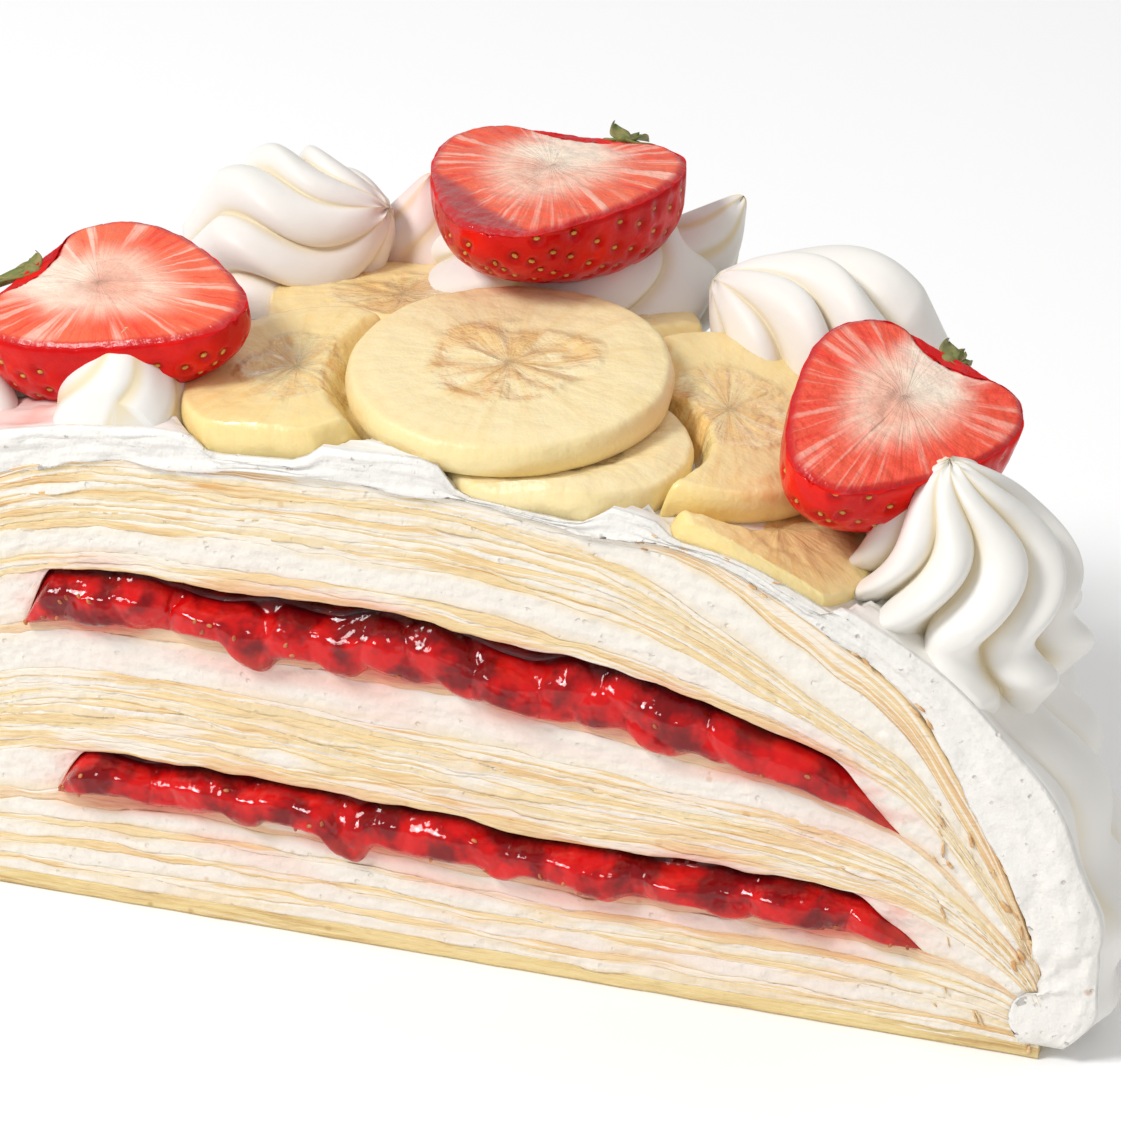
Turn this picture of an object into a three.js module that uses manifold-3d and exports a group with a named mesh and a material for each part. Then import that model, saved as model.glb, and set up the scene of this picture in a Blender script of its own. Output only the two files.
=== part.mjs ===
// Half of a domed crepe cake, cut by one vertical plane.
// Cake frame: X along the cut, Y back from the cut plane, Z up, millimetres.
// The middle of the cut's bottom edge is the cake frame's zero.
import * as THREE from 'three';
import { mergeVertices } from 'three/addons/utils/BufferGeometryUtils.js';
import Module from 'manifold-3d';

const wasm = await Module();
wasm.setup();

// Driving dimensions
const crepeRadius = 68.5; // the layers, without their cream coat
const coatRadius = 74.6; // the coat's outer surface, before its piped strokes
const coatTop = 3.8; // cream above the top crepe, at the middle
const clearance = 0.3; // between a piece and the neighbour that it is cut round
const coatFoot = 1.5; // the coat's lower edge stays this far above the board
const bananaThickness = 4.2;

// Grid of every layer: rings as shares of the radius, sectors over the half turn
const ringShares = [0, 0.4, 0.74, 0.9, 0.97, 1];
const fillingRing = 2; // the jam reaches this ring, and cream closes the layer beyond it
const sectorCount = 8;

// The layers from the board up: name, thickness at the middle, thickness at the rim
const layers = [
  ['crepe_01', 1.9, 1.3], ['cream_01', 1.4, 0.3], ['crepe_02', 0.9, 0.4],
  ['cream_02', 2.0, 0.3], ['crepe_03', 0.9, 0.4], ['cream_03', 1.9, 0.3],
  ['crepe_04', 0.9, 0.4], ['cream_04', 2.0, 0.3], ['crepe_05', 1.6, 0.4],
  ['jam_lower', 5.2, 0.5], ['crepe_06', 1.2, 0.4], ['crepe_07', 1.2, 0.4],
  ['cream_05', 1.2, 0.2], ['crepe_08', 1.0, 0.4], ['cream_06', 0.9, 0.2],
  ['crepe_09', 1.0, 0.4], ['cream_07', 0.9, 0.2], ['crepe_10', 1.0, 0.4],
  ['cream_08', 0.8, 0.2], ['crepe_11', 1.0, 0.4], ['cream_09', 5.1, 0.3],
  ['crepe_12', 1.7, 0.4], ['jam_upper', 6.8, 0.5], ['crepe_13', 1.2, 0.4],
  ['crepe_14', 1.1, 0.4], ['cream_10', 3.7, 0.3], ['crepe_15', 1.0, 0.4],
  ['cream_11', 0.9, 0.2], ['crepe_16', 1.0, 0.4], ['cream_12', 0.9, 0.2],
  ['crepe_17', 1.0, 0.4], ['cream_13', 1.0, 0.2], ['crepe_18', 1.0, 0.4],
  ['cream_14', 1.2, 0.2], ['crepe_19', 0.9, 0.4],
];
const lowerFilling = layers.findIndex(([name]) => name === 'jam_lower');
const upperFilling = layers.findIndex(([name]) => name === 'jam_upper');

// Materials
const finishes = {
  crepe: { color: 0xecd08a, roughness: 0.7 },
  stainedCrepe: { color: 0xe7a98c, roughness: 0.65 },
  cream: { color: 0xf8f2e6, roughness: 0.55 },
  jam: { color: 0x9c0a14, roughness: 0.15 },
  banana: { color: 0xf3dc92, roughness: 0.35 },
  berry: { color: 0xc41420, roughness: 0.25 },
  calyx: { color: 0x5c7a34, roughness: 0.6 },
};
const finish = (name) => new THREE.MeshStandardMaterial({ metalness: 0, ...finishes[name] });

const cake = new THREE.Group();
const addMesh = (name, geometry, finishName, parent = cake) => {
  const mesh = new THREE.Mesh(geometry, finish(finishName));
  mesh.name = name;
  parent.add(mesh);
  return mesh;
};

// Layer heights. Angle 0 is the cut's right end, PI its left end.
// The right side slopes down from the middle, and the left side keeps its height to a full shoulder.
const rimPower = 0.62;
function fullness(index, angle) {
  const right = Math.cos(angle);
  if (index <= lowerFilling) return 5.5;
  if (index < upperFilling) return 3.5 - 2.4 * right;
  if (index === upperFilling) return 3.2 - 1.0 * right;
  return 4.0 - 1.0 * right;
}
function evenThickness(index, share, angle) {
  const [, middle, rim] = layers[index];
  return rim + (middle - rim) * (1 - share ** fullness(index, angle)) ** rimPower;
}
// On the right the layers over the upper jam thin out, a wedge of cream opens over them,
// and the outer crepes lie doubled
const ease = (value, start, end) => {
  const way = Math.min(1, Math.max(0, (value - start) / (end - start)));
  return way * way * (3 - 2 * way);
};
const pressed = 0.55; // share that the layers over the upper jam lose
const slumped = 0.4; // share that everything from the lower jam up loses at the right end
const wedgeDepth = 4;
const foldDepth = 3.6;
const outerCream = layers.length - 2;
function thickness(index, share, angle) {
  const across = share * Math.cos(angle);
  let depth = evenThickness(index, share, angle);
  if (index > upperFilling && index < outerCream) depth *= 1 - pressed * ease(across, 0.28, 0.72);
  if (index >= lowerFilling && index < outerCream) depth *= 1 - slumped * ease(across, 0.75, 1);
  if (index === outerCream) depth += wedgeDepth * ease(across, 0.2, 0.5) * (1 - ease(across, 0.55, 1));
  if (index > outerCream) depth += foldDepth * ease(across, 0.3, 0.75) * (1 - ease(across, 0.88, 1));
  return depth;
}
// The fillings lean down to the right, and the lowest and the topmost layers don't
const bump = (height) => Math.max(0, Math.sin((Math.PI * Math.min(height, 58)) / 58)) ** 1.2;
function floorOf(index, share, angle, depthOf = thickness) {
  let height = 0;
  for (let below = 0; below < index; below += 1) height += depthOf(below, share, angle);
  const lean = -1.3 * Math.sin(2.2 * share * Math.cos(angle));
  const wave = 0.35 * Math.sin(5.2 * share * Math.cos(angle) + 0.09 * height + 2.2);
  return height + (lean * bump(height) + wave * Math.min(1, height / 12)) * (1 - share ** 4);
}

// Closed solid between two height functions, from one ring to another, over the half turn.
// Adjacent layers share their vertices' positions, so they meet face to face.
function slab(lower, upper, shares, radius, sectors) {
  const points = [];
  const faces = [];
  const angles = Array.from({ length: sectors + 1 }, (_, k) => (Math.PI * k) / sectors);
  const closed = shares[0] === 0;
  const rings = closed ? shares.slice(1) : shares;
  const side = (height) => {
    const start = points.length;
    if (closed) points.push([0, 0, height(0, 0)]);
    rings.forEach((share) => angles.forEach((angle, k) => {
      const across = k === sectors ? -1 : Math.cos(angle);
      const back = k === 0 || k === sectors ? 0 : Math.sin(angle);
      points.push([radius * share * across, radius * share * back, height(share, angle)]);
    }));
    const at = (ring, k) => start + (closed ? 1 : 0) + ring * (sectors + 1) + k;
    return { start, at };
  };
  const bottom = side(lower);
  const top = side(upper);
  const quad = (a, b, c, d) => faces.push([a, b, c], [a, c, d]);
  const last = rings.length - 1;
  for (let k = 0; k < sectors; k += 1) {
    if (closed) {
      faces.push([top.start, top.at(0, k), top.at(0, k + 1)]);
      faces.push([bottom.start, bottom.at(0, k + 1), bottom.at(0, k)]);
    } else {
      quad(bottom.at(0, k), top.at(0, k), top.at(0, k + 1), bottom.at(0, k + 1));
    }
    for (let ring = 0; ring < last; ring += 1) {
      quad(top.at(ring, k), top.at(ring + 1, k), top.at(ring + 1, k + 1), top.at(ring, k + 1));
      quad(bottom.at(ring, k), bottom.at(ring, k + 1), bottom.at(ring + 1, k + 1), bottom.at(ring + 1, k));
    }
    quad(bottom.at(last, k), bottom.at(last, k + 1), top.at(last, k + 1), top.at(last, k));
  }
  const cutStrip = (k, flip) => {
    const strip = (a, b, c, d) => (flip ? quad(d, c, b, a) : quad(a, b, c, d));
    if (closed) strip(bottom.start, bottom.at(0, k), top.at(0, k), top.start);
    for (let ring = 0; ring < last; ring += 1) {
      strip(bottom.at(ring, k), bottom.at(ring + 1, k), top.at(ring + 1, k), top.at(ring, k));
    }
  };
  cutStrip(0, false);
  cutStrip(sectors, true);
  return fromLists(points, faces);
}
function fromLists(points, faces) {
  const geometry = new THREE.BufferGeometry();
  geometry.setAttribute('position', new THREE.Float32BufferAttribute(points.flat(), 3));
  geometry.setIndex(faces.flat());
  return geometry;
}

// Cutting and joining
function toSolid(geometry, matrix) {
  const bare = geometry.clone();
  bare.deleteAttribute('normal');
  bare.deleteAttribute('uv');
  if (matrix) bare.applyMatrix4(matrix);
  const merged = mergeVertices(bare, 1e-4);
  return new wasm.Manifold(new wasm.Mesh({
    numProp: 3,
    vertProperties: new Float32Array(merged.getAttribute('position').array),
    triVerts: new Uint32Array(merged.getIndex().array),
  }));
}
function toGeometry(solid) {
  const mesh = solid.getMesh();
  const geometry = new THREE.BufferGeometry();
  geometry.setAttribute('position', new THREE.BufferAttribute(new Float32Array(mesh.vertProperties), 3));
  geometry.setIndex(new THREE.BufferAttribute(new Uint32Array(mesh.triVerts), 1));
  return geometry;
}
const cutAway = (solid, tools) => tools.reduce((rest, tool) => rest.subtract(tool), solid);
function largestPiece(solid) {
  const pieces = solid.decompose();
  return pieces.reduce((best, piece) => (piece.volume() > best.volume() ? piece : best));
}

// Crepes, creams and jams
function addLayers() {
  layers.forEach(([name], index) => {
    const lower = (share, angle) => floorOf(index, share, angle);
    const upper = (share, angle) => floorOf(index + 1, share, angle);
    const layer = (shares) => slab(lower, upper, shares, crepeRadius, sectorCount);
    if (index === lowerFilling || index === upperFilling) {
      addMesh(name, layer(ringShares.slice(0, fillingRing + 1)), 'jam');
      addMesh(name.replace('jam', 'cream_ring'), layer(ringShares.slice(fillingRing)), 'cream');
    } else {
      const underJam = index + 1 === lowerFilling || index + 1 === upperFilling;
      const crepeFinish = underJam ? 'stainedCrepe' : 'crepe';
      addMesh(name, layer(ringShares), name.startsWith('crepe') ? crepeFinish : 'cream');
    }
  });
}
const stackTop = (share, angle) => floorOf(layers.length, share, angle);

// The room that the layers take, with the clearance round it
function stackRoom() {
  const lower = () => -10;
  const upper = (share, angle) => stackTop(share, angle) + clearance;
  const room = slab(lower, upper, ringShares, crepeRadius + clearance, sectorCount);
  return toSolid(room).add(toSolid(cutRoom()));
}

// Everything in front of the cut plane
function cutRoom() {
  const size = 400;
  return new THREE.BoxGeometry(size, size, size).translate(0, 0.01 - size / 2, 0);
}

// Cream coat: a smooth dome whose side is piped in upright strokes
const strokeCount = 15;
const strokeDepth = 2;
function coatHeight(share, angle) {
  return floorOf(layers.length, share, angle, evenThickness) + coatTop * (1 - share ** 5);
}
function strokeRelief(angle, level) {
  const nearCut = Math.min(1, Math.min(angle, Math.PI - angle) / 0.22);
  const lean = 0.35 * level;
  const phase = Math.abs(Math.sin(strokeCount * angle + lean));
  return strokeDepth * (phase - 0.35) * nearCut;
}
function coatSolid() {
  const samples = 4; // along one stroke, and one along the smooth crown
  const sectors = strokeCount * samples;
  // Rows from the foot up: the foot's inset and height, then shares of the radius over the dome
  const foot = [[3.6, coatFoot], [1.2, 3.2], [0, 7]];
  const dome = [1, 0.985, 0.95, 0.88, 0.78];
  const crown = [0.6, 0.3];
  const rowCount = foot.length + dome.length;
  const points = [];
  const faces = [];
  const place = (radius, k, height) => {
    const angle = (Math.PI * k) / sectors;
    const across = k === sectors ? -1 : Math.cos(angle);
    const back = k === 0 || k === sectors ? 0 : Math.sin(angle);
    return points.push([radius * across, radius * back, height]) - 1;
  };
  const fine = Array.from({ length: sectors + 1 }, (_, k) => {
    const angle = (Math.PI * k) / sectors;
    const footRow = foot.map(([inset, height], row) => {
      const relief = strokeRelief(angle, row / rowCount) * Math.min(1, (row + 1) / 2);
      return place(coatRadius - inset + relief, k, height);
    });
    const domeRow = dome.map((share, row) => {
      const relief = strokeRelief(angle, (row + foot.length) / rowCount) * Math.max(0, (share - 0.7) / 0.3);
      return place(coatRadius * share + relief, k, coatHeight(share, angle));
    });
    return [...footRow, ...domeRow];
  });
  const coarse = Array.from({ length: strokeCount + 1 }, (_, stroke) => {
    const k = stroke * samples;
    return crown.map((share) => place(coatRadius * share, k, coatHeight(share, (Math.PI * k) / sectors)));
  });
  const top = points.push([0, 0, coatHeight(0, 0)]) - 1;
  const heel = points.push([0, 0, coatFoot]) - 1;
  const last = rowCount - 1;
  for (let k = 0; k < sectors; k += 1) {
    const [here, next] = [fine[k], fine[k + 1]];
    for (let row = 0; row < last; row += 1) {
      faces.push([here[row], next[row], next[row + 1]], [here[row], next[row + 1], here[row + 1]]);
    }
    faces.push([next[0], here[0], heel]);
    const stroke = Math.floor(k / samples);
    const nearest = k % samples < samples / 2 ? stroke : stroke + 1;
    faces.push([here[last], next[last], coarse[nearest][0]]);
    if (k % samples === samples / 2) faces.push([here[last], coarse[stroke + 1][0], coarse[stroke][0]]);
  }
  for (let stroke = 0; stroke < strokeCount; stroke += 1) {
    const [here, next] = [coarse[stroke], coarse[stroke + 1]];
    faces.push([here[0], next[0], next[1]], [here[0], next[1], here[1]], [here[1], next[1], top]);
  }
  const rightEdge = [heel, ...fine[0], ...coarse[0], top];
  const leftEdge = [heel, ...fine[sectors], ...coarse[strokeCount], top];
  for (let i = 1; i + 1 < rightEdge.length; i += 1) {
    faces.push([heel, rightEdge[i], rightEdge[i + 1]], [heel, leftEdge[i + 1], leftEdge[i]]);
  }
  return fromLists(points, faces);
}

// A half strawberry: its cut face lies in local XY and faces +Z, and its tip points along +X.
// Turned as a heart-shaped whole, then its lower half is swelled to fuller sides.
const notchDepth = 0.2; // the dimple at the cap, as a share of the half length
const notchWidth = 0.2; // in radians of the profile's turn
const shoulderSwell = 0.43; // how much wider the cap's end is than the tip's
const widest = 1.11; // brings the profile's widest place back to 1
const berryFullness = 0.6; // 1 gives an elliptic section, less gives steeper sides
const endFullness = 0.8;
function berryGeometry(length, width, depth, grow = 0) {
  const steps = 10;
  const profile = Array.from({ length: steps + 1 }, (_, step) => {
    const turn = (Math.PI * step) / steps;
    const shoulder = 1 + shoulderSwell * Math.cos(turn);
    const dent = 1 - notchDepth * Math.exp(-((turn / notchWidth) ** 2));
    const radius = step === 0 || step === steps ? 0 : (Math.sin(turn) ** 0.65 * shoulder) / widest;
    return new THREE.Vector2(radius, -Math.cos(turn) * dent);
  });
  const whole = new THREE.LatheGeometry(profile, 18);
  whole.rotateZ(-Math.PI / 2);
  const position = whole.getAttribute('position');
  for (let i = 0; i < position.count; i += 1) {
    const [across, down] = [position.getY(i), position.getZ(i)];
    const reach = Math.hypot(across, down);
    if (down < 0) position.setZ(i, -(reach ** endFullness) * (-down / reach) ** berryFullness);
  }
  whole.scale(length / 2 + grow, width / 2 + grow, depth + grow);
  const above = new THREE.BoxGeometry(200, 200, 200).translate(0, 0, 100 + grow);
  return toGeometry(toSolid(whole).subtract(toSolid(above)));
}

// What is left of a berry's green cap: three small wavy leaves on one foot
function calyxGeometry(size) {
  const outline = new THREE.Shape();
  outline.moveTo(-0.3 * size, -0.15 * size);
  outline.lineTo(-0.6 * size, 0.5 * size);
  outline.lineTo(-0.12 * size, 0.22 * size);
  outline.lineTo(0.05 * size, 0.75 * size);
  outline.lineTo(0.2 * size, 0.2 * size);
  outline.lineTo(0.7 * size, 0.42 * size);
  outline.lineTo(0.35 * size, -0.15 * size);
  outline.closePath();
  const leaf = new THREE.ExtrudeGeometry(outline, { depth: 0.7, bevelEnabled: false, steps: 1 });
  const position = leaf.getAttribute('position');
  for (let i = 0; i < position.count; i += 1) {
    const [x, y, z] = [position.getX(i), position.getY(i), position.getZ(i)];
    position.setZ(i, z + 0.12 * y * y + 0.5 * Math.sin(1.3 * x));
  }
  return leaf;
}

// Three berries: middle of the cut face, its upward normal, the way the tip points, the sizes and where
// the cap sits, from the end of the axis
const berries = [
  {
    name: 'left', at: [-38.1, 13.2, 69.8], normal: [-0.12, -0.18, 1], tip: [0.955, -0.3, 0],
    size: [30.4, 25.1, 13], cap: [1.2, 0.5],
  },
  {
    name: 'middle', at: [-0.4, 43, 75.5], normal: [0, 0.01, 1], tip: [-0.04, -1, 0],
    size: [31.8, 28.9, 13], cap: [-0.7, 4.2],
  },
  {
    name: 'right', at: [45.7, 16.3, 65.5], normal: [0.28, -0.17, 1], tip: [-0.26, -0.97, 0],
    size: [30.7, 23.4, 14.5], cap: [1.2, -0.3],
  },
];
function placement({ at, normal, tip }) {
  const up = new THREE.Vector3(...normal).normalize();
  const forward = new THREE.Vector3(...tip);
  forward.addScaledVector(up, -forward.dot(up)).normalize();
  const sideways = new THREE.Vector3().crossVectors(up, forward);
  return new THREE.Matrix4().makeBasis(forward, sideways, up).setPosition(...at);
}
function addBerries() {
  return berries.map((berry) => {
    const [length] = berry.size;
    const holder = new THREE.Group();
    holder.applyMatrix4(placement(berry));
    cake.add(holder);
    addMesh(`strawberry_${berry.name}`, berryGeometry(...berry.size), 'berry', holder);
    const cap = addMesh(`calyx_${berry.name}`, calyxGeometry(5), 'calyx', holder);
    cap.rotation.set(0, -0.5, Math.PI / 2);
    cap.position.set(berry.cap[0] - length / 2, berry.cap[1], -1.4);
    holder.updateMatrixWorld(true);
    const room = toSolid(berryGeometry(...berry.size, clearance + 0.1), holder.matrix);
    const capRoom = new THREE.BoxGeometry(8, 8.5, 5).translate(berry.cap[0] - length / 2 - 2.5, berry.cap[1], 0);
    return room.add(toSolid(capRoom, holder.matrix));
  });
}

// Banana slices, the one that lies on top first: middle, half length along X and along Y,
// tilt about X and Y
const slices = [
  { at: [3.8, 18.5, 62.8], half: [17.8, 18.3], tilt: [0.07, 0.02] },
  { at: [-18.5, 13.5, 61.5], half: [12.5, 15.5], tilt: [0.05, -0.06] },
  { at: [12, 11.5, 59.4], half: [14, 13], tilt: [0.04, 0.12] },
  { at: [26.5, 23.5, 58.2], half: [14.5, 19.5], tilt: [-0.02, 0.22] },
  { at: [-15, 38, 59.8], half: [15.5, 14], tilt: [-0.1, -0.04] },
  { at: [5.5, 39.5, 60.0], half: [14, 12], tilt: [-0.1, 0.08] },
  { at: [35.5, 8.5, 53.6], half: [11.5, 12.5], tilt: [0, 0.42] },
];
function sliceGeometry({ at, half, tilt }, grow = 0) {
  const disc = new THREE.CylinderGeometry(1, 1, bananaThickness + 2 * grow, 14);
  disc.rotateX(Math.PI / 2);
  disc.scale(half[0] + grow, half[1] + grow, 1);
  disc.rotateX(tilt[0]);
  disc.rotateY(tilt[1]);
  return disc.translate(...at);
}
function addSlices(rooms) {
  slices.forEach((slice, index) => {
    const cut = cutAway(toSolid(sliceGeometry(slice)), rooms);
    addMesh(`banana_${index + 1}`, toGeometry(largestPiece(cut)), 'banana');
    rooms.push(toSolid(sliceGeometry(slice, clearance)));
  });
}

// A piped swirl: a star section that turns as it narrows to its peak
const grooveDepth = 0.15; // as a share of the swirl's radius
function swirlGeometry({ radius, height, lobes, turns, samples, rows, sink }, grow = 0) {
  const points = [];
  const faces = [];
  for (let row = 0; row < rows; row += 1) {
    const level = row / rows;
    const bulge = Math.sqrt(1 - level ** 1.7) * (0.86 + 0.3 * Math.sin(2.6 * level + 0.4));
    for (let k = 0; k < samples; k += 1) {
      const angle = (2 * Math.PI * k) / samples + turns * 2 * Math.PI * level;
      const star = 1 + grooveDepth * Math.cos(lobes * ((2 * Math.PI * k) / samples));
      const reach = (radius + grow) * bulge * star;
      points.push([reach * Math.cos(angle), reach * Math.sin(angle), level * height - sink]);
    }
  }
  const peak = points.push([0, 0, height - sink + grow]) - 1;
  const foot = points.push([0, 0, -sink - grow]) - 1;
  for (let k = 0; k < samples; k += 1) {
    const next = (k + 1) % samples;
    for (let row = 0; row + 1 < rows; row += 1) {
      const [low, high] = [row * samples, (row + 1) * samples];
      faces.push([low + k, low + next, high + next], [low + k, high + next, high + k]);
    }
    const crest = (rows - 1) * samples;
    faces.push([crest + k, crest + next, peak], [next, k, foot]);
  }
  return fromLists(points, faces);
}
const swirl = { radius: 10.8, height: 18, lobes: 8, turns: 0.25, samples: 16, rows: 6, sink: 2 };
const sideSwirl = { ...swirl, radius: 11.4, height: 24.5 };
const backSwirl = { ...swirl, height: 22 };
const dollop = { radius: 8, height: 12, lobes: 5, turns: 0.2, samples: 10, rows: 4, sink: 2 };
const tallTip = { ...dollop, radius: 5.5, height: 13 };
const lowTip = { ...dollop, radius: 6.5, height: 11 };
const bed = { ...swirl, radius: 16.5, height: 15, turns: 0.2, rows: 3 };
const swirls = [
  { name: 'rosette_right', form: sideSwirl, at: [56.2, 12, 41], lean: [-0.12, -0.03, 1] },
  { name: 'rosette_left', form: sideSwirl, at: [-59, 12, 44], lean: [0.12, -0.03, 1] },
  { name: 'rosette_back_right', form: backSwirl, at: [36.2, 48, 54], lean: [-0.78, -0.12, 0.5] },
  { name: 'rosette_back_left', form: swirl, at: [-34.6, 48, 60], lean: [0.8, 0, 0.42] },
  { name: 'cream_peak', form: dollop, at: [-35.5, 5.5, 58.5], lean: [0.05, 0.05, 1] },
  { name: 'cream_tip_right', form: tallTip, at: [12.5, 57, 60], lean: [0.55, 0.2, 0.8] },
  { name: 'cream_tip_left', form: lowTip, at: [-18, 55, 60], lean: [0.1, 0, 1] },
  { name: 'rosette_back_middle', form: bed, at: [0.5, 54, 57], lean: [0, 0.1, 1] },
];
function swirlSolid({ form, at, lean }, grow = 0) {
  const up = new THREE.Vector3(...lean).normalize();
  const turn = new THREE.Quaternion().setFromUnitVectors(new THREE.Vector3(0, 0, 1), up);
  const place = new THREE.Matrix4().compose(new THREE.Vector3(...at), turn, new THREE.Vector3(1, 1, 1));
  return toSolid(swirlGeometry(form, grow), place);
}
function addSwirls(rooms) {
  swirls.forEach((item) => {
    const cut = cutAway(swirlSolid(item), rooms);
    addMesh(item.name, toGeometry(largestPiece(cut)), 'cream');
    rooms.push(swirlSolid(item, clearance));
  });
}

addLayers();
const rooms = addBerries();
rooms.push(stackRoom());
addSlices(rooms);
addSwirls(rooms);
addMesh('cream_coat', toGeometry(largestPiece(cutAway(toSolid(coatSolid()), rooms))), 'cream');

// The whole rests on z = 0, with the middle of its box's underside at the origin
const object = new THREE.Group();
object.add(cake);
object.updateMatrixWorld(true);
const box = new THREE.Box3().setFromObject(cake, true);
const middle = box.getCenter(new THREE.Vector3());
cake.position.set(-middle.x, -middle.y, -box.min.z);

export default object;
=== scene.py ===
import math
import random

import bmesh
import bpy
from mathutils import Matrix, Vector, kdtree, noise


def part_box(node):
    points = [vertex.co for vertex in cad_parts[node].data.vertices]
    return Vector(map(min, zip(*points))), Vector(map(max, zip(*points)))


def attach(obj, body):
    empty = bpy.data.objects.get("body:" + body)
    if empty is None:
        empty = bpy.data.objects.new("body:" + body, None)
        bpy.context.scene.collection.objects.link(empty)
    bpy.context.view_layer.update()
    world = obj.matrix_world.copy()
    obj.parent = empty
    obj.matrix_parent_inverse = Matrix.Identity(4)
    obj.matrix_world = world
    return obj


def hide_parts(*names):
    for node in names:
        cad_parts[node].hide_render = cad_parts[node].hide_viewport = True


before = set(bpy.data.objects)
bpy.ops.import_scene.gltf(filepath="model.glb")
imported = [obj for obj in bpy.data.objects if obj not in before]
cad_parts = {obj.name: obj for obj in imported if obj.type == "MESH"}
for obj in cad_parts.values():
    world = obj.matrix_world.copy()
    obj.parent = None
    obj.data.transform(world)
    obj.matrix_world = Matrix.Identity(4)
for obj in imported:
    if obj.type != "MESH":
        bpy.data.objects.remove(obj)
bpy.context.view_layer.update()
print("frame loaded")

# Everything is shaped in the cake's own millimetres: X along the cut, Y back from it, Z up,
# zero at the middle of the cut's bottom edge
mm = 0.001
baseLow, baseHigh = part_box("crepe_01")
cakeOrigin = Vector(((baseLow.x + baseHigh.x) / 2, baseLow.y, baseLow.z))
cakeToFrame = Matrix.Translation(cakeOrigin) @ Matrix.Scale(mm, 4)


# Small helpers
def ease(value, start, end):
    way = min(1.0, max(0.0, (value - start) / (end - start)))
    return way * way * (3 - 2 * way)


def mix(first, second, share):
    return first + (second - first) * share


def ripple(x, y=0.0, z=0.0):  # smooth noise, about -1 to 1
    return noise.noise(Vector((x, y, z)))


def rough(x, y, z, octaves):  # rougher noise with finer steps in it
    return noise.fractal(Vector((x, y, z)), 0.7, 2.1, octaves)


def tint(code):  # screen colour code to the linear values that shaders take
    parts = [int(code[i:i + 2], 16) / 255 for i in (0, 2, 4)]
    return (*[p / 12.92 if p <= 0.04045 else ((p + 0.055) / 1.055) ** 2.4 for p in parts], 1.0)


def finishPiece(name, bm, material, nodes=()):
    bmesh.ops.transform(bm, matrix=cakeToFrame, verts=bm.verts)
    mesh = bpy.data.meshes.new(name)
    bm.to_mesh(mesh)
    bm.free()
    mesh.polygons.foreach_set("use_smooth", [True] * len(mesh.polygons))
    piece = bpy.data.objects.new(name, mesh)
    bpy.context.scene.collection.objects.link(piece)
    for finish in material if isinstance(material, list) else [material]:
        mesh.materials.append(finish)
    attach(piece, "root")
    if nodes:
        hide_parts(*nodes)
    return piece


def spinOutline(points, axis, steps):  # a closed round body from its half outline
    bm = bmesh.new()
    chain = [bm.verts.new(point) for point in points]
    edges = [bm.edges.new(pair) for pair in zip(chain, chain[1:])]
    bmesh.ops.spin(bm, geom=chain + edges, cent=(0, 0, 0), axis=axis, angle=2 * math.pi,
                   steps=steps, use_merge=True, use_duplicate=False)
    bmesh.ops.remove_doubles(bm, verts=bm.verts, dist=1e-5)
    bmesh.ops.recalc_face_normals(bm, faces=bm.faces)
    return bm


def trimAtCut(bm):  # slices off flat what would stand out of the cut
    if min(vert.co.y for vert in bm.verts) >= 0:
        return
    cut = bmesh.ops.bisect_plane(bm, geom=bm.verts[:] + bm.edges[:] + bm.faces[:], dist=1e-5,
                                 plane_co=(0, 0, 0), plane_no=(0, -1, 0), clear_outer=True)
    rim = [e for e in cut["geom_cut"] if isinstance(e, bmesh.types.BMEdge)]
    bmesh.ops.holes_fill(bm, edges=rim, sides=0)


def joinInto(whole, part):
    scrap = bpy.data.meshes.new("part")
    part.to_mesh(scrap)
    part.free()
    whole.from_mesh(scrap)
    bpy.data.meshes.remove(scrap)


# Shader helpers
def wireUp(tree, item, wires):
    for key, value in wires.items():
        if isinstance(value, bpy.types.NodeSocket):
            tree.links.new(value, item.inputs[key])
        else:
            item.inputs[key].default_value = value


def addNode(tree, kind, wires=None, **settings):
    item = tree.nodes.new(kind)
    for key, value in settings.items():
        setattr(item, key, value)
    wireUp(tree, item, wires or {})
    return item


def blendColours(tree, share, first, second, way="MIX"):
    item = addNode(tree, "ShaderNodeMix", {0: share, 6: first, 7: second}, data_type="RGBA", blend_type=way)
    return item.outputs[2]


def calc(tree, operation, first, second=0.0, third=0.0, clamp=False):
    wires = {0: first, 1: second, 2: third}
    return addNode(tree, "ShaderNodeMath", wires, operation=operation, use_clamp=clamp).outputs[0]


def times(tree, first, second):
    return calc(tree, "MULTIPLY", first, second)


def ramp(tree, value, low, high, start=0.0, end=1.0):
    wires = {"Value": value, "From Min": low, "From Max": high, "To Min": start, "To Max": end}
    return addNode(tree, "ShaderNodeMapRange", wires, interpolation_type="SMOOTHSTEP").outputs[0]


def grain(tree, vector, scale, detail=4.0, roughness=0.6):
    wires = {"Vector": vector, "Scale": scale, "Detail": detail, "Roughness": roughness}
    return addNode(tree, "ShaderNodeTexNoise", wires).outputs["Fac"]


def stretch(tree, vector, x, y, z):
    wires = {0: vector, 1: (x, y, z)}
    return addNode(tree, "ShaderNodeVectorMath", wires, operation="MULTIPLY").outputs[0]


def attribute(tree, name, output="Fac"):  # a value kept on the piece's points
    return addNode(tree, "ShaderNodeAttribute", attribute_name=name).outputs[output]


def objectPlace(tree):
    return addNode(tree, "ShaderNodeTexCoord").outputs["Object"]


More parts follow.
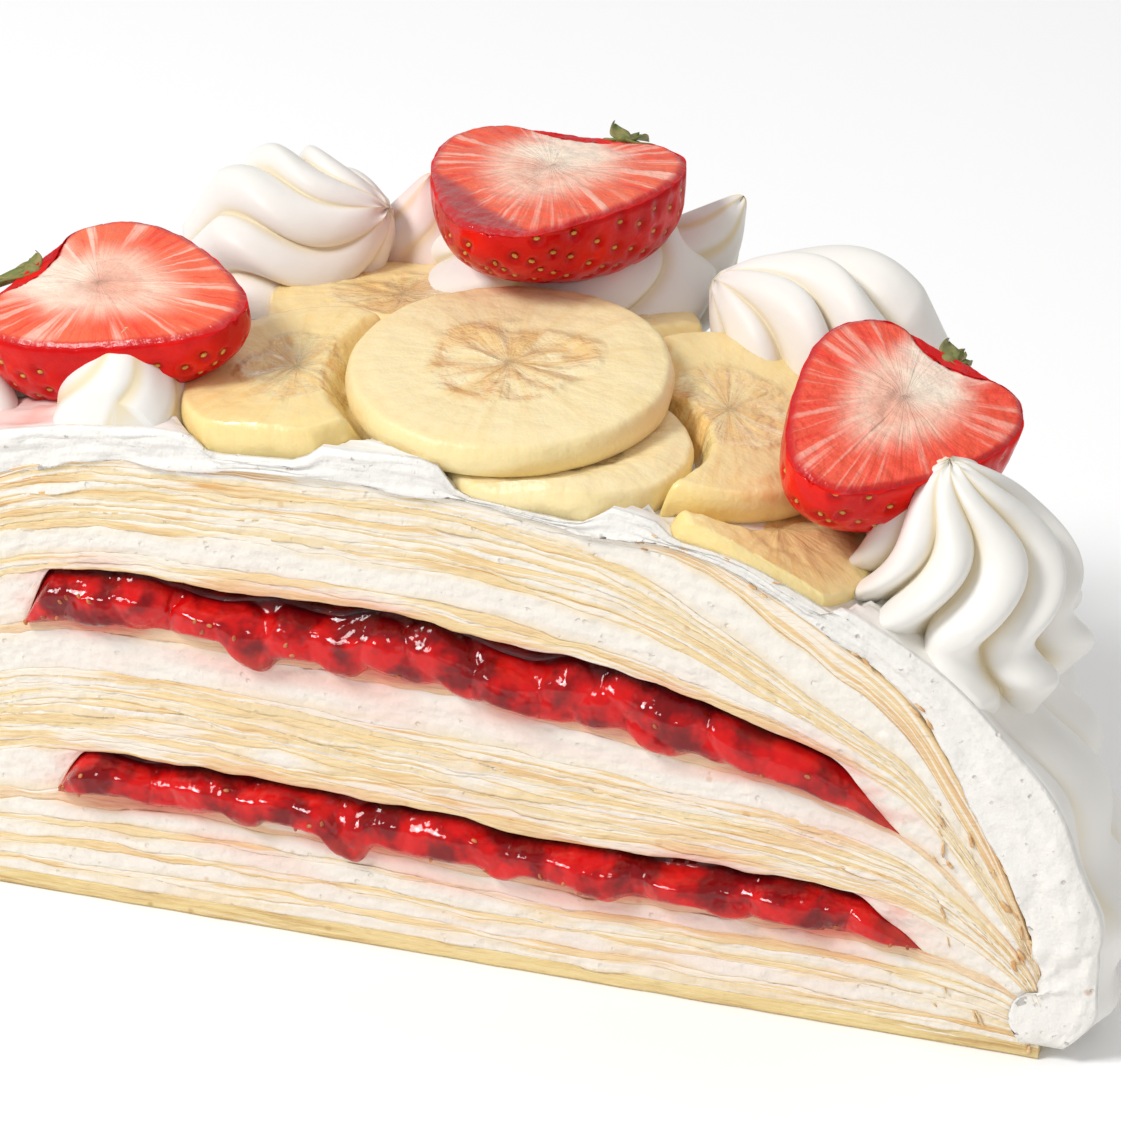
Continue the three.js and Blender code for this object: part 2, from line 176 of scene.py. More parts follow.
def newGroup(name, inputs, outputs):
    tree = bpy.data.node_groups.new(name, "ShaderNodeTree")
    for label, kind, value in inputs:
        socket = tree.interface.new_socket(label, in_out="INPUT", socket_type=kind)
        if value is not None:
            socket.default_value = value
    for label, kind in outputs:
        tree.interface.new_socket(label, in_out="OUTPUT", socket_type=kind)
    return tree, tree.nodes.new("NodeGroupInput").outputs, tree.nodes.new("NodeGroupOutput").inputs


def useGroup(tree, group, wires):
    item = tree.nodes.new("ShaderNodeGroup")
    item.node_tree = group
    wireUp(tree, item, wires)
    return item.outputs


# Long soft streaks along a layer, as the knife leaves them
def makeStreakGroup():
    number = "NodeSocketFloat"
    inputs = [("Vector", "NodeSocketVector", None), ("Along", number, 1.0), ("Across", number, 4.0),
              ("Low", number, 0.4), ("High", number, 0.6)]
    tree, given, made = newGroup("knifeStreaks", inputs, [("Mask", number)])
    scale = addNode(tree, "ShaderNodeCombineXYZ", {"X": given["Along"], "Y": given["Across"], "Z": 1.0})
    wires = {0: given["Vector"], 1: scale.outputs[0]}
    spread = addNode(tree, "ShaderNodeVectorMath", wires, operation="MULTIPLY").outputs[0]
    tree.links.new(ramp(tree, grain(tree, spread, 1.0, 3.0, 0.62), given["Low"], given["High"]), made["Mask"])
    return tree


# Torn, airy cream: bubbles and crumbs of cream in one height value, and the bubbles' holes as a mask for
# painted shade
def makePoreGroup():
    number = "NodeSocketFloat"
    inputs = [("Vector", "NodeSocketVector", None), ("Scale", number, 900.0), ("Holes", number, 0.6)]
    tree, given, made = newGroup("creamPores", inputs, [("Height", number), ("HoleShade", number)])
    coarse = grain(tree, given["Vector"], given["Scale"], 3.0, 0.65)
    wires = {"Vector": given["Vector"], "Scale": times(tree, given["Scale"], 1.6)}
    cells = addNode(tree, "ShaderNodeTexVoronoi", wires).outputs["Distance"]
    hollow = times(tree, ramp(tree, cells, 0.28, 0.08), given["Holes"])
    opened = times(tree, hollow, ramp(tree, coarse, 0.5, 0.62))
    tree.links.new(calc(tree, "SUBTRACT", coarse, opened), made["Height"])
    tree.links.new(opened, made["HoleShade"])
    return tree


# Small scattered spots
def makeFleckGroup():
    number = "NodeSocketFloat"
    inputs = [("Vector", "NodeSocketVector", None), ("Scale", number, 300.0), ("Size", number, 0.2),
              ("Share", number, 0.5)]
    tree, given, made = newGroup("smallFlecks", inputs, [("Mask", number)])
    cells = addNode(tree, "ShaderNodeTexVoronoi", {"Vector": given["Vector"], "Scale": given["Scale"]})
    spot = ramp(tree, cells.outputs["Distance"], given["Size"], times(tree, given["Size"], 0.4))
    picked = calc(tree, "LESS_THAN", addNode(
        tree, "ShaderNodeSeparateColor", {0: cells.outputs["Color"]}).outputs[0], given["Share"])
    tree.links.new(times(tree, spot, picked), made["Mask"])
    return tree


streakGroup = makeStreakGroup()
poreGroup = makePoreGroup()
fleckGroup = makeFleckGroup()


def newFinish(name, settings):
    material = bpy.data.materials.new(name)
    material.use_nodes = True
    tree = material.node_tree
    tree.nodes.clear()
    shader = tree.nodes.new("ShaderNodeBsdfPrincipled")
    for key, value in settings.items():
        shader.inputs[key].default_value = value
    output = tree.nodes.new("ShaderNodeOutputMaterial")
    tree.links.new(shader.outputs[0], output.inputs[0])
    return material, tree, shader


def addBump(tree, shader, height, distance, strength=1.0):
    wires = {"Height": height, "Distance": distance, "Strength": strength}
    tree.links.new(addNode(tree, "ShaderNodeBump", wires).outputs[0], shader.inputs["Normal"])


def layerPlace(tree):
    uv = addNode(tree, "ShaderNodeUVMap", uv_map="layers").outputs[0]
    level = addNode(tree, "ShaderNodeSeparateXYZ", {0: uv}).outputs[1]
    way = calc(tree, "FRACT", level)
    edge = calc(tree, "ABSOLUTE", calc(tree, "MULTIPLY_ADD", way, 2.0, -1.0))
    return uv, way, edge


def streaks(tree, uv, along, across, low, high):
    wires = {"Vector": uv, "Along": along, "Across": across, "Low": low, "High": high}
    return useGroup(tree, streakGroup, wires)[0]


# Crepe seen at the cut: pale inside, golden at its two faces, streaked with cream
def crepeFinish(name, pale, golden, brown, smearLow=0.485, dragAcross=1.1):
    material, tree, shader = newFinish(name, {
        "Roughness": 0.6, "Specular IOR Level": 0.3})
    uv, way, edge = layerPlace(tree)
    place = objectPlace(tree)
    stain = attribute(tree, "stain")
    smear = attribute(tree, "smear")
    broad = streaks(tree, uv, 0.5, 0.8, 0.46, 0.66)
    fine = streaks(tree, uv, 0.9, 4.0, 0.36, 0.66)
    hair = streaks(tree, uv, 1.6, 15.0, 0.48, 0.68)
    rimmed = calc(tree, "POWER", edge, 4.0)
    share = calc(tree, "MULTIPLY_ADD", rimmed, 0.3, times(tree, fine, 0.5), clamp=True)
    colour = blendColours(tree, share, tint(pale), tint(golden))
    toast = attribute(tree, "toast")
    baked = calc(tree, "MULTIPLY_ADD", hair, 0.6, times(tree, fine, 0.4))
    baked = times(tree, broad, baked)
    toasted = times(tree, toast, calc(tree, "MULTIPLY_ADD", fine, 0.7, 0.2))
    baked = calc(tree, "MAXIMUM", baked, toasted)
    colour = blendColours(tree, baked, colour, tint(brown))
    colour = blendColours(tree, times(tree, hair, 0.25), colour, tint(golden))
    specks = useGroup(tree, fleckGroup, {"Vector": place, "Scale": 420.0, "Size": 0.26, "Share": 0.12})[0]
    specks = times(tree, specks, calc(tree, "SUBTRACT", 1.0, way, clamp=True))
    colour = blendColours(tree, times(tree, specks, 0.7), colour, tint(brown))
    dragged = streaks(tree, uv, 0.4, dragAcross, smearLow, smearLow + 0.07)
    white = calc(tree, "MAXIMUM", times(tree, dragged, 0.9), smear)
    colour = blendColours(tree, white, colour, tint("efe7d9"))
    colour = blendColours(tree, stain, colour, tint("e07c6a"))
    tree.links.new(colour, shader.inputs["Base Color"])
    crumb = grain(tree, stretch(tree, place, 500.0, 900.0, 2200.0), 1.0, 2.0, 0.6)
    addBump(tree, shader, crumb, 0.0002)
    return material


# Cream between the crepes, wiped by the knife, with a few tan crumbs in it
def layerCreamFinish():
    material, tree, shader = newFinish("layerCream", {
        "Roughness": 0.55, "Specular IOR Level": 0.3})
    uv, _, edge = layerPlace(tree)
    place = objectPlace(tree)
    stain = attribute(tree, "stain")
    thin = attribute(tree, "smear")
    soiled = streaks(tree, uv, 0.4, 1.7, 0.4, 0.56)
    bordering = calc(tree, "MULTIPLY_ADD", ramp(tree, edge, 0.25, 1.0), 0.5, thin, clamp=True)
    colour = blendColours(tree, times(tree, soiled, bordering), tint("ece6dc"), tint("e6cfa0"))
    pores = useGroup(tree, poreGroup, {"Vector": place, "Scale": 420.0, "Holes": 0.5})
    # Painted shade: the pores' holes darkened to a warm beige
    colour = blendColours(tree, times(tree, pores[1], 0.3), colour, tint("dcc7a2"))
    spots = useGroup(tree, fleckGroup, {"Vector": place, "Scale": 380.0, "Size": 0.2, "Share": 0.06})[0]
    colour = blendColours(tree, times(tree, spots, 0.45), colour, tint("cfa26c"))
    colour = blendColours(tree, stain, colour, tint("e88f80"))
    tree.links.new(colour, shader.inputs["Base Color"])
    addBump(tree, shader, pores[0], 0.0003)
    return material


# Whipped cream from the piping bag: smooth, with painted warm shade down in its grooves, open and airy where
# cut, with painted shade in its holes
def pipedCreamFinish():
    material, tree, shader = newFinish("pipedCream", {"Roughness": 0.45, "Specular IOR Level": 0.32})
    grooveShade = attribute(tree, "grooveShade")
    porous = attribute(tree, "porous")
    place = objectPlace(tree)
    blush = attribute(tree, "blush")
    # Painted shade: the deeper in a groove, the warmer and darker the cream
    deep = ramp(tree, grooveShade, 0.35, 1.0)
    colour = blendColours(tree, times(tree, deep, 0.85), tint("ece9e3"), tint("e4d3aa"))
    colour = blendColours(tree, blush, colour, tint("eeb4aa"))
    pores = useGroup(tree, poreGroup, {"Vector": place, "Scale": 520.0, "Holes": 0.8})
    spots = useGroup(tree, fleckGroup, {"Vector": place, "Scale": 260.0, "Size": 0.17, "Share": 0.12})[0]
    spots = times(tree, times(tree, spots, porous), 0.7)
    colour = blendColours(tree, spots, colour, tint("bd957c"))
    # Painted shade: greyer in the pores of the cut band
    colour = blendColours(tree, times(tree, pores[1], porous), colour, tint("d9cfc4"))
    tree.links.new(colour, shader.inputs["Base Color"])
    soft = times(tree, grain(tree, place, 260.0, 2.0, 0.5), 0.6)
    height = calc(tree, "ADD", soft, times(tree, times(tree, pores[0], porous), 1.2))
    addBump(tree, shader, height, 0.0004, 0.7)
    return material


# Berry jam: wet, with painted near-black shadow in its pockets at the top, bright red where it thins out
def jamFinish():
    material, tree, shader = newFinish("jam", {
        "Roughness": 0.08, "IOR": 1.45, "Specular IOR Level": 0.25,
        "Coat Weight": 0.42, "Coat Roughness": 0.02})
    place = objectPlace(tree)
    thin = attribute(tree, "thin")
    pocketShadow = attribute(tree, "pocketShadow")
    lumps = ramp(tree, grain(tree, place, 200.0, 3.0, 0.55), 0.38, 0.6)
    colour = blendColours(tree, lumps, tint("7a0106"), tint("d00c0d"))
    colour = blendColours(tree, thin, colour, tint("d23a2c"))
    # Painted shadow: near black where the jam's top sits back under the crepe above
    colour = blendColours(tree, pocketShadow, colour, tint("3a0205"))
    tree.links.new(colour, shader.inputs["Base Color"])
    addBump(tree, shader, grain(tree, place, 330.0, 2.0, 0.5), 0.0009)
    return material


# Ripe banana: pale ring, fibres out to the rim, wet seed core
def bananaFinish(name, pale, deep, core, rind, coat):
    material, tree, shader = newFinish(name, {
        "Roughness": 0.38, "Subsurface Weight": 0.25, "Subsurface Radius": (1.0, 0.75, 0.35),
        "Subsurface Scale": 0.002, "Specular IOR Level": 0.45, "Coat Weight": 0.0, "Coat Roughness": 0.1})
    place = objectPlace(tree)
    ray = attribute(tree, "ray", "Vector")
    rho = attribute(tree, "disc")
    side = attribute(tree, "side")
    wander = calc(tree, "MULTIPLY_ADD", grain(tree, place, 150.0, 3.0, 0.5), 0.44, -0.22)
    inward = calc(tree, "ADD", rho, wander)
    fibres = grain(tree, stretch(tree, ray, 7.0, 7.0, 1.0), 1.0, 3.0, 0.55)
    fibrous = times(tree, ramp(tree, fibres, 0.42, 0.75), 0.5)
    colour = blendColours(tree, fibrous, tint(pale), tint(deep))
    rim = ramp(tree, inward, 0.84, 1.0)
    colour = blendColours(tree, times(tree, rim, 0.35), colour, tint("eed596"))
    middle = ramp(tree, inward, 0.56, 0.42)
    cells = grain(tree, stretch(tree, ray, 2.2, 2.2, 1.6), 1.0, 3.0, 0.55)
    wet = blendColours(tree, ramp(tree, cells, 0.4, 0.62), tint(core), tint(pale))
    colour = blendColours(tree, times(tree, middle, 0.8), colour, wet)
    wedges = grain(tree, stretch(tree, ray, 3.4, 3.4, 0.4), 1.0, 2.0, 0.5)
    blotch = ramp(tree, grain(tree, place, 420.0, 3.0, 0.6), 0.42, 0.62)
    star = times(tree, ramp(tree, inward, 0.34, 0.1), ramp(tree, wedges, 0.5, 0.66))
    star = times(tree, star, blotch)
    colour = blendColours(tree, times(tree, star, 0.55), colour, tint("b98a4c"))
    colour = blendColours(tree, times(tree, side, 0.7), colour, tint(rind))
    tree.links.new(colour, shader.inputs["Base Color"])
    tree.links.new(ramp(tree, middle, 0.0, 1.0, 0.42, 0.16), shader.inputs["Roughness"])
    tree.links.new(calc(tree, "MULTIPLY_ADD", middle, 1.0 - coat, coat), shader.inputs["Coat Weight"])
    relief = calc(tree, "MULTIPLY_ADD", fibres, 0.4, grain(tree, place, 420.0, 3.0, 0.55))
    relief = times(tree, relief, calc(tree, "MULTIPLY_ADD", middle, 1.6, 1.0))
    addBump(tree, shader, relief, 0.0003)
    return material


# Cut strawberry flesh: red rim, rays, pale heart that opens to the cap
def berryFleshFinish():
    material, tree, shader = newFinish("berryFlesh", {
        "Roughness": 0.3, "Subsurface Weight": 0.15, "Subsurface Radius": (1.0, 0.35, 0.25),
        "Subsurface Scale": 0.0015, "Specular IOR Level": 0.35, "Coat Weight": 0.2, "Coat Roughness": 0.15})
    place = objectPlace(tree)
    ray = attribute(tree, "ray", "Vector")
    rho = attribute(tree, "disc")
    cap = attribute(tree, "cap")
    dark = attribute(tree, "dark")
    pale = attribute(tree, "pale")
    rays = grain(tree, stretch(tree, ray, 8.5, 8.5, 0.4), 1.0, 4.0, 0.62)
    inward = calc(tree, "ADD", rho, calc(tree, "MULTIPLY_ADD", rays, 0.7, -0.35))
    outer = blendColours(tree, pale, tint("ee3e1a"), tint("f27a54"))
    colour = blendColours(tree, ramp(tree, inward, 0.3, 0.7), tint("f8c8b0"), outer)
    threads = ramp(tree, rays, 0.52, 0.64)
    thread = times(tree, threads, calc(tree, "MULTIPLY_ADD", pale, 0.5, 0.3))
    colour = blendColours(tree, thread, colour, tint("fdd8c6"))
    hot = times(tree, ramp(tree, rays, 0.46, 0.34), ramp(tree, rho, 0.45, 0.75))
    colour = blendColours(tree, times(tree, hot, 0.75), colour, tint("ee2c14"))
    heart = ramp(tree, calc(tree, "ADD", rho, calc(tree, "MULTIPLY_ADD", rays, 0.12, -0.06)), 0.36, 0.26)
    speckle = grain(tree, place, 900.0, 3.0, 0.6)
    inside = blendColours(tree, speckle, tint("ec8a6c"), tint("f8c0a8"))
    colour = blendColours(tree, times(tree, heart, 0.6), colour, inside)
    colour = blendColours(tree, cap, colour, tint("fbecd8"))
    bruised = blendColours(tree, rays, tint("80020f"), tint("cc1626"))
    colour = blendColours(tree, times(tree, dark, 0.92), colour, bruised)
    tree.links.new(ramp(tree, dark, 0.0, 1.0, 0.3, 0.08), shader.inputs["Roughness"])
    tree.links.new(ramp(tree, dark, 0.0, 1.0, 0.2, 0.8), shader.inputs["Coat Weight"])
    colour = blendColours(tree, ramp(tree, rho, 0.9, 0.99), colour, tint("c3101a"))
    tree.links.new(colour, shader.inputs["Base Color"])
    relief = calc(tree, "MULTIPLY_ADD", rays, 0.8, grain(tree, place, 700.0, 3.0, 0.5))
    addBump(tree, shader, relief, 0.0004)
    return material


def berrySkinFinish():
    material, tree, shader = newFinish("berrySkin", {
        "Roughness": 0.28, "Specular IOR Level": 0.12, "Coat Weight": 0.14, "Coat Roughness": 0.04})
    place = objectPlace(tree)
    pitDepthAndShade = attribute(tree, "pitDepthAndShade")
    patch = ramp(tree, grain(tree, place, 120.0, 3.0, 0.5), 0.35, 0.7)
    colour = blendColours(tree, patch, tint("c20208"), tint("ea1a0a"))
    # Painted shade: the skin darker down in the seed pits
    colour = blendColours(tree, times(tree, pitDepthAndShade, 0.6), colour, tint("8a0207"))
    tree.links.new(colour, shader.inputs["Base Color"])
    addBump(tree, shader, grain(tree, place, 600.0, 3.0, 0.5), 0.0002)
    return material


def plainGrainFinish(name, first, second, scale, settings, depth=0.0002):
    material, tree, shader = newFinish(name, settings)
    place = objectPlace(tree)
    spots = grain(tree, place, scale, 4.0, 0.6)
    colour = blendColours(tree, ramp(tree, spots, 0.35, 0.65), tint(first), tint(second))
    tree.links.new(colour, shader.inputs["Base Color"])
    addBump(tree, shader, spots, depth)
    return material


finishes = {
    "crepe": crepeFinish("crepe", "edd9ae", "e3bf7e", "cf904a"),
    "base": crepeFinish("baseCrepe", "e9d5a0", "d9bb78", "a87a40", 0.6, 2.2),
    "stained": crepeFinish("stainedCrepe", "ead5b4", "e2b888", "cc8a60", 0.58),
    "wrap": crepeFinish("wrapCrepe", "ead2a4", "dcb078", "c68448", 0.49, 6.0),
    "cream": layerCreamFinish(),
    "piped": pipedCreamFinish(),
    "jam": jamFinish(),
    "banana": bananaFinish("banana", "f1dfb0", "e9cc8e", "ecc886", "f2dea4", 0.0),
    "wetBanana": bananaFinish("wetBanana", "f3db9c", "eec978", "ecc074", "f0d488", 0.5),
    "flesh": berryFleshFinish(),
    "skin": berrySkinFinish(),
    "achene": plainGrainFinish("achene", "b9802a", "d8a84a", 900.0, {"Roughness": 0.3}),
    "jamSeed": plainGrainFinish("jamSeed", "9c4424", "cc8048", 900.0, {"Roughness": 0.35}),
    "crumb": plainGrainFinish("crumb", "cf9a60", "ecd0a0", 700.0, {"Roughness": 0.6}),
    "leaf": plainGrainFinish("leaf", "6f7a3a", "9a8a52", 500.0, {"Roughness": 0.55}),
}
print("finishes made")

# The layers from the board up: name, thickness at the middle, thickness at the rim
layers = [
    ("crepe_01", 1.9, 1.3), ("cream_01", 1.4, 0.3), ("crepe_02", 0.9, 0.4), ("cream_02", 2.0, 0.3),
    ("crepe_03", 0.9, 0.4), ("cream_03", 1.9, 0.3), ("crepe_04", 0.9, 0.4), ("cream_04", 2.0, 0.3),
    ("crepe_05", 1.6, 0.4), ("jam_lower", 5.2, 0.5), ("crepe_06", 1.2, 0.4), ("crepe_07", 1.2, 0.4),
    ("cream_05", 1.2, 0.2), ("crepe_08", 1.0, 0.4), ("cream_06", 0.9, 0.2), ("crepe_09", 1.0, 0.4),
    ("cream_07", 0.9, 0.2), ("crepe_10", 1.0, 0.4), ("cream_08", 0.8, 0.2), ("crepe_11", 1.0, 0.4),
    ("cream_09", 5.1, 0.3), ("crepe_12", 1.7, 0.4), ("jam_upper", 6.8, 0.5), ("crepe_13", 1.2, 0.4),
    ("crepe_14", 1.1, 0.4), ("cream_10", 3.7, 0.3), ("crepe_15", 1.0, 0.4), ("cream_11", 0.9, 0.2),
    ("crepe_16", 1.0, 0.4), ("cream_12", 0.9, 0.2), ("crepe_17", 1.0, 0.4), ("cream_13", 1.0, 0.2),
    ("crepe_18", 1.0, 0.4), ("cream_14", 1.2, 0.2), ("crepe_19", 0.9, 0.4),
]
layerNames = [row[0] for row in layers]
lowerFilling = layerNames.index("jam_lower")
upperFilling = layerNames.index("jam_upper")
outerCream = len(layers) - 2

stack = {
    "radius": 68.5,
    "rimPower": 0.62,
    "pressed": 0.55,  # what the layers over the upper jam lose on the right
    "slumped": 0.4,  # what everything over the lower jam loses at the right end
    "wedgeDepth": 4.0,
    "foldDepth": 3.6,
    "columns": 520,
    "wander": 0.52,  # how far a boundary strays from its even line
}

layerReach = stack["radius"] * 0.9995  # just short of the rim, where a layer has no depth left


def fullness(index, right):
    if index <= lowerFilling:
        return 5.5
    if index < upperFilling:
        return 3.5 - 2.4 * right
    if index == upperFilling:
        return 3.2 - 1.0 * right
    return 4.0 - 1.0 * right


def layerDepth(index, share, right, even=False):
    middle, rim = layers[index][1:]
    depth = rim + (middle - rim) * (1 - share ** fullness(index, right)) ** stack["rimPower"]
    if even:
        return depth
    across = share * right
    if upperFilling < index < outerCream:
        depth *= 1 - stack["pressed"] * ease(across, 0.28, 0.72)
    if lowerFilling <= index < outerCream:
        depth *= 1 - stack["slumped"] * ease(across, 0.75, 1)
    if index == outerCream:
        depth += stack["wedgeDepth"] * ease(across, 0.2, 0.5) * (1 - ease(across, 0.55, 1))
    if index > outerCream:
        depth += stack["foldDepth"] * ease(across, 0.3, 0.75) * (1 - ease(across, 0.88, 1))
    return depth


def settle(height, share, right):
    bump = max(0.0, math.sin(math.pi * min(height, 58) / 58)) ** 1.2
    lean = -1.3 * math.sin(2.2 * share * right)
    wave = 0.35 * math.sin(5.2 * share * right + 0.09 * height + 2.2)
    return height + (lean * bump + wave * min(1, height / 12)) * (1 - share ** 4)


def polar(x, y):
    reach = math.hypot(x, y)
    return min(1.0, reach / stack["radius"]), (x / reach if reach > 1e-9 else 1.0)


heightCache = {}


def boundaries(x, y):
    key = (round(x, 4), round(y, 4))
    if key not in heightCache:
        share, right = polar(x, y)
        total = 0.0
        depths = [layerDepth(index, share, right) for index in range(len(layers))]
        heights = [settle(0.0, share, right)]
        for index, depth in enumerate(depths):
            total += depth
            stray = stack["wander"] * min(depth, depths[min(index + 1, len(layers) - 1)], 1.4)
            near = 1 - ease(y, 2, 25)
            wavy = 1.3 * ripple(x * 0.09, index * 3.7, 5) + 0.6 * ripple(x * 0.3, index * 5.3, 9)
            inner = 0.0 if index == len(layers) - 1 or index == 0 else 1.0
            heights.append(settle(total, share, right) + stray * near * wavy * inner)
        heightCache[key] = heights
    return heightCache[key]


def evenTop(share, right):
    total = sum(layerDepth(index, share, right, even=True) for index in range(len(layers)))
    return settle(total, share, right)


# How much a point of the cut is stained by the jams over and under it
def stainAt(x, z):
    amount = 0.0
    for index in (lowerFilling, upperFilling):
        settings = jamSettings[layerNames[index]]
        bottom, top = boundaries(x, 0.0)[index], boundaries(x, 0.0)[index + 1]
        inside = ease(settings["reach"] + 4 - abs(x - settings["middle"]), 0, 14)
        cloud = min(1.0, max(0.0, 0.36 + 1.5 * ripple(x * 0.08, z * 0.35, 31)))
        if z < bottom:
            amount += inside * (math.exp((z - bottom) / 3.4) * cloud + 0.5 * math.exp((z - bottom) / 1.1))
        elif z > top:
            amount += inside * 0.6 * math.exp((top - z) / 1.2) * cloud
        else:
            beyond = max(0.0, abs(x - settings["middle"]) - settings["reach"] + 2)
            amount += 0.55 * math.exp(-beyond / 3) * (0.6 + ripple(x * 0.3, z * 0.6, 37))
    return min(0.9, amount)


# Baked patches: over the upper jam at the left, and where the layers run out at the right
def toastAt(x, z):
    left = (1 - ease(x, -28, -2)) * ease(z, 45, 50) * ease(ripple(x * 0.07, z * 0.35, 12), -0.05, 0.35)
    right = ease(x, 48, 62) * ease(ripple(x * 0.1, z * 0.25, 17), -0.1, 0.4)
    return min(1.0, left + 0.8 * right)


# A slab between two heights, from its cut face back to its round rim
def slab(xStart, xEnd, grid, frontOf, backOf, lowOf, highOf, faceOf, level, smearOf=None):
    columns, frontRows = grid
    depthShares = [0.012, 0.05, 0.2, 1.0]
    deep = len(depthShares)
    rows = 2 * deep + frontRows + 1
    bm = bmesh.new()
    uvs = bm.loops.layers.uv.new("layers")
    bmesh.ops.create_grid(bm, x_segments=columns, y_segments=rows, size=1.0)
    stainLayer = bm.verts.layers.float.new("stain")
    smearLayer = bm.verts.layers.float.new("smear")
    toastLayer = bm.verts.layers.float.new("toast")
    middle, half = (xStart + xEnd) / 2, (xEnd - xStart) / 2
    spots = {}
    for vert in bm.verts:
        column = round((vert.co.x + 1) / 2 * columns)
        row = round((vert.co.y + 1) / 2 * rows)
        x = middle + half * math.sin((column / columns - 0.5) * math.pi * 0.998)
        front, back = frontOf(x), backOf(x)
        if deep <= row <= deep + frontRows:
            way = (row - deep) / frontRows
            low, high = lowOf(x, front), highOf(x, front)
            offset, z = faceOf(x, way, low, high)
            y = front + offset
            vert[stainLayer] = stainAt(x, z)
            vert[toastLayer] = toastAt(x, z)
            if smearOf:
                vert[smearLayer] = smearOf(x, way)
        else:
            under = row < deep
            way = 0.0 if under else 1.0
            if row == rows:
                way, under = 0.0, True
                share = depthShares[-1]
            else:
                share = depthShares[deep - 1 - row] if under else depthShares[row - deep - frontRows - 1]
            y = front + (back - front) * share
            z = lowOf(x, y) if under else highOf(x, y)
        spots[vert] = (x / 10, level + 0.02 + 0.96 * way)
        vert.co = (x, y, z)
    for face in bm.faces:
        for loop in face.loops:
            loop[uvs].uv = spots[loop.vert]
    bmesh.ops.remove_doubles(bm, verts=bm.verts, dist=1e-4)
    bmesh.ops.holes_fill(bm, edges=[e for e in bm.edges if e.is_boundary], sides=0)
    bmesh.ops.recalc_face_normals(bm, faces=bm.faces)
    return bm


def rimDepth(x):
    return math.sqrt(max(0.0, stack["radius"] ** 2 - x * x))


def cutLine(x):
    return 0.0


def heightOf(boundary):
    return lambda x, y: boundaries(x, y)[boundary]


crepeEdge = {"rows": 9, "wavy": 0.1, "lap": 0.4}


def edgeLine(x, boundary):  # how far a boundary stands out of the cut; neighbours share it
    return -(0.22 + 0.1 * ripple(x * 0.21, boundary * 3.3, 4))


coveredCrepe = (-14.0, 25.0)  # where cream hides the outer crepe's edge


def crepePiece(index):
    name = layerNames[index]
    last = index == len(layers) - 1
    low, high = heightOf(index), heightOf(index + 1)

    def face(x, way, bottom, top):
        edge = mix(edgeLine(x, index), edgeLine(x, index + 1), way)
        if way in (0.0, 1.0):
            return edge, mix(bottom, top, way)
        bulge = 1 - abs(2 * way - 1) ** 6
        frayed = crepeEdge["wavy"] * (0.4 + ripple(x * 0.23, index * 2.3, 1))
        torn = 0.08 * rough(x * 1.3, way * 1.3 + index * 7, 2, 3)
        lapLow = crepeEdge["lap"] * max(0.0, ripple(x * 0.15, index * 6.1, 60) + 0.05)
        lapHigh = crepeEdge["lap"] * max(0.0, ripple(x * 0.15, index * 6.1, 80) + 0.05)
        if index == 0:
            lapLow = 0.0
        forward = 0.3 * mix(lapLow, lapHigh, way)
        return edge - bulge * (frayed + torn + forward), mix(bottom - lapLow, top + lapHigh, way)

    def smear(x, way):
        if not last:
            return 0.0
        torn = 2.5 * ripple(x * 0.3, way * 2, 3)
        return 0.95 * ease(x + torn, coveredCrepe[0] - 3, coveredCrepe[0] + 1) * (
            1 - ease(x + torn, coveredCrepe[1] - 2, coveredCrepe[1] + 3))

    reach = layerReach
    grid = (stack["columns"], crepeEdge["rows"])
    bm = slab(-reach, reach, grid, cutLine, rimDepth, low, high, face, index, smear)
    kind = "base" if index == 0 else "wrap" if last else "crepe"
    slotName = "crepe"
    if index + 1 in (lowerFilling, upperFilling):
        kind, slotName = "stained", "stained_crepe"
    return finishPiece("fine_" + name, bm, finishes[kind], [name])


layerCream = {"rowsPerMm": 5, "lap": 1.0, "pores": 0.14, "swell": 0.03}


def creamFace(index):
    def face(x, way, bottom, top):
        edge = mix(edgeLine(x, index), edgeLine(x, index + 1), way)
        if way in (0.0, 1.0):
            return edge, mix(bottom, top, way)
        limit = 0.9 * min(1.0, (top - bottom) / 0.8)
        lapLow = min(limit, layerCream["lap"] * max(0.0, ripple(x * 0.13, index * 4.1, 20)))
        lapHigh = min(limit, layerCream["lap"] * max(0.0, ripple(x * 0.13, index * 4.1, 40)))
        body = 1 - abs(2 * way - 1) ** 6
        z = mix(bottom - lapLow, top + lapHigh, way)
        uneven = layerCream["pores"] * rough(x * 0.7, z * 0.9, index, 4)
        dragged = 0.1 * ripple(x * 0.16, z * 0.8, 3)
        lapped = 0.22 * mix(lapLow, lapHigh, way)
        return edge - body * (layerCream["swell"] + uneven + dragged + lapped), z
    return face


def creamPiece(index):
    name = layerNames[index]
    low, high = heightOf(index), heightOf(index + 1)

    def thinness(x, way):  # thin creams let the crepes show through
        return 0.95 * (1 - ease(high(x, 0.0) - low(x, 0.0), 0.7, 2.2))

    thick = max(layers[index][1], stack["wedgeDepth"] if index == outerCream else 0)
    rows = max(8, round(thick * layerCream["rowsPerMm"]))
    reach = layerReach
    grid = (stack["columns"], rows)
    bm = slab(-reach, reach, grid, cutLine, rimDepth, low, high, creamFace(index), index, thinness)
    return finishPiece("fine_" + name, bm, finishes["cream"], [name])
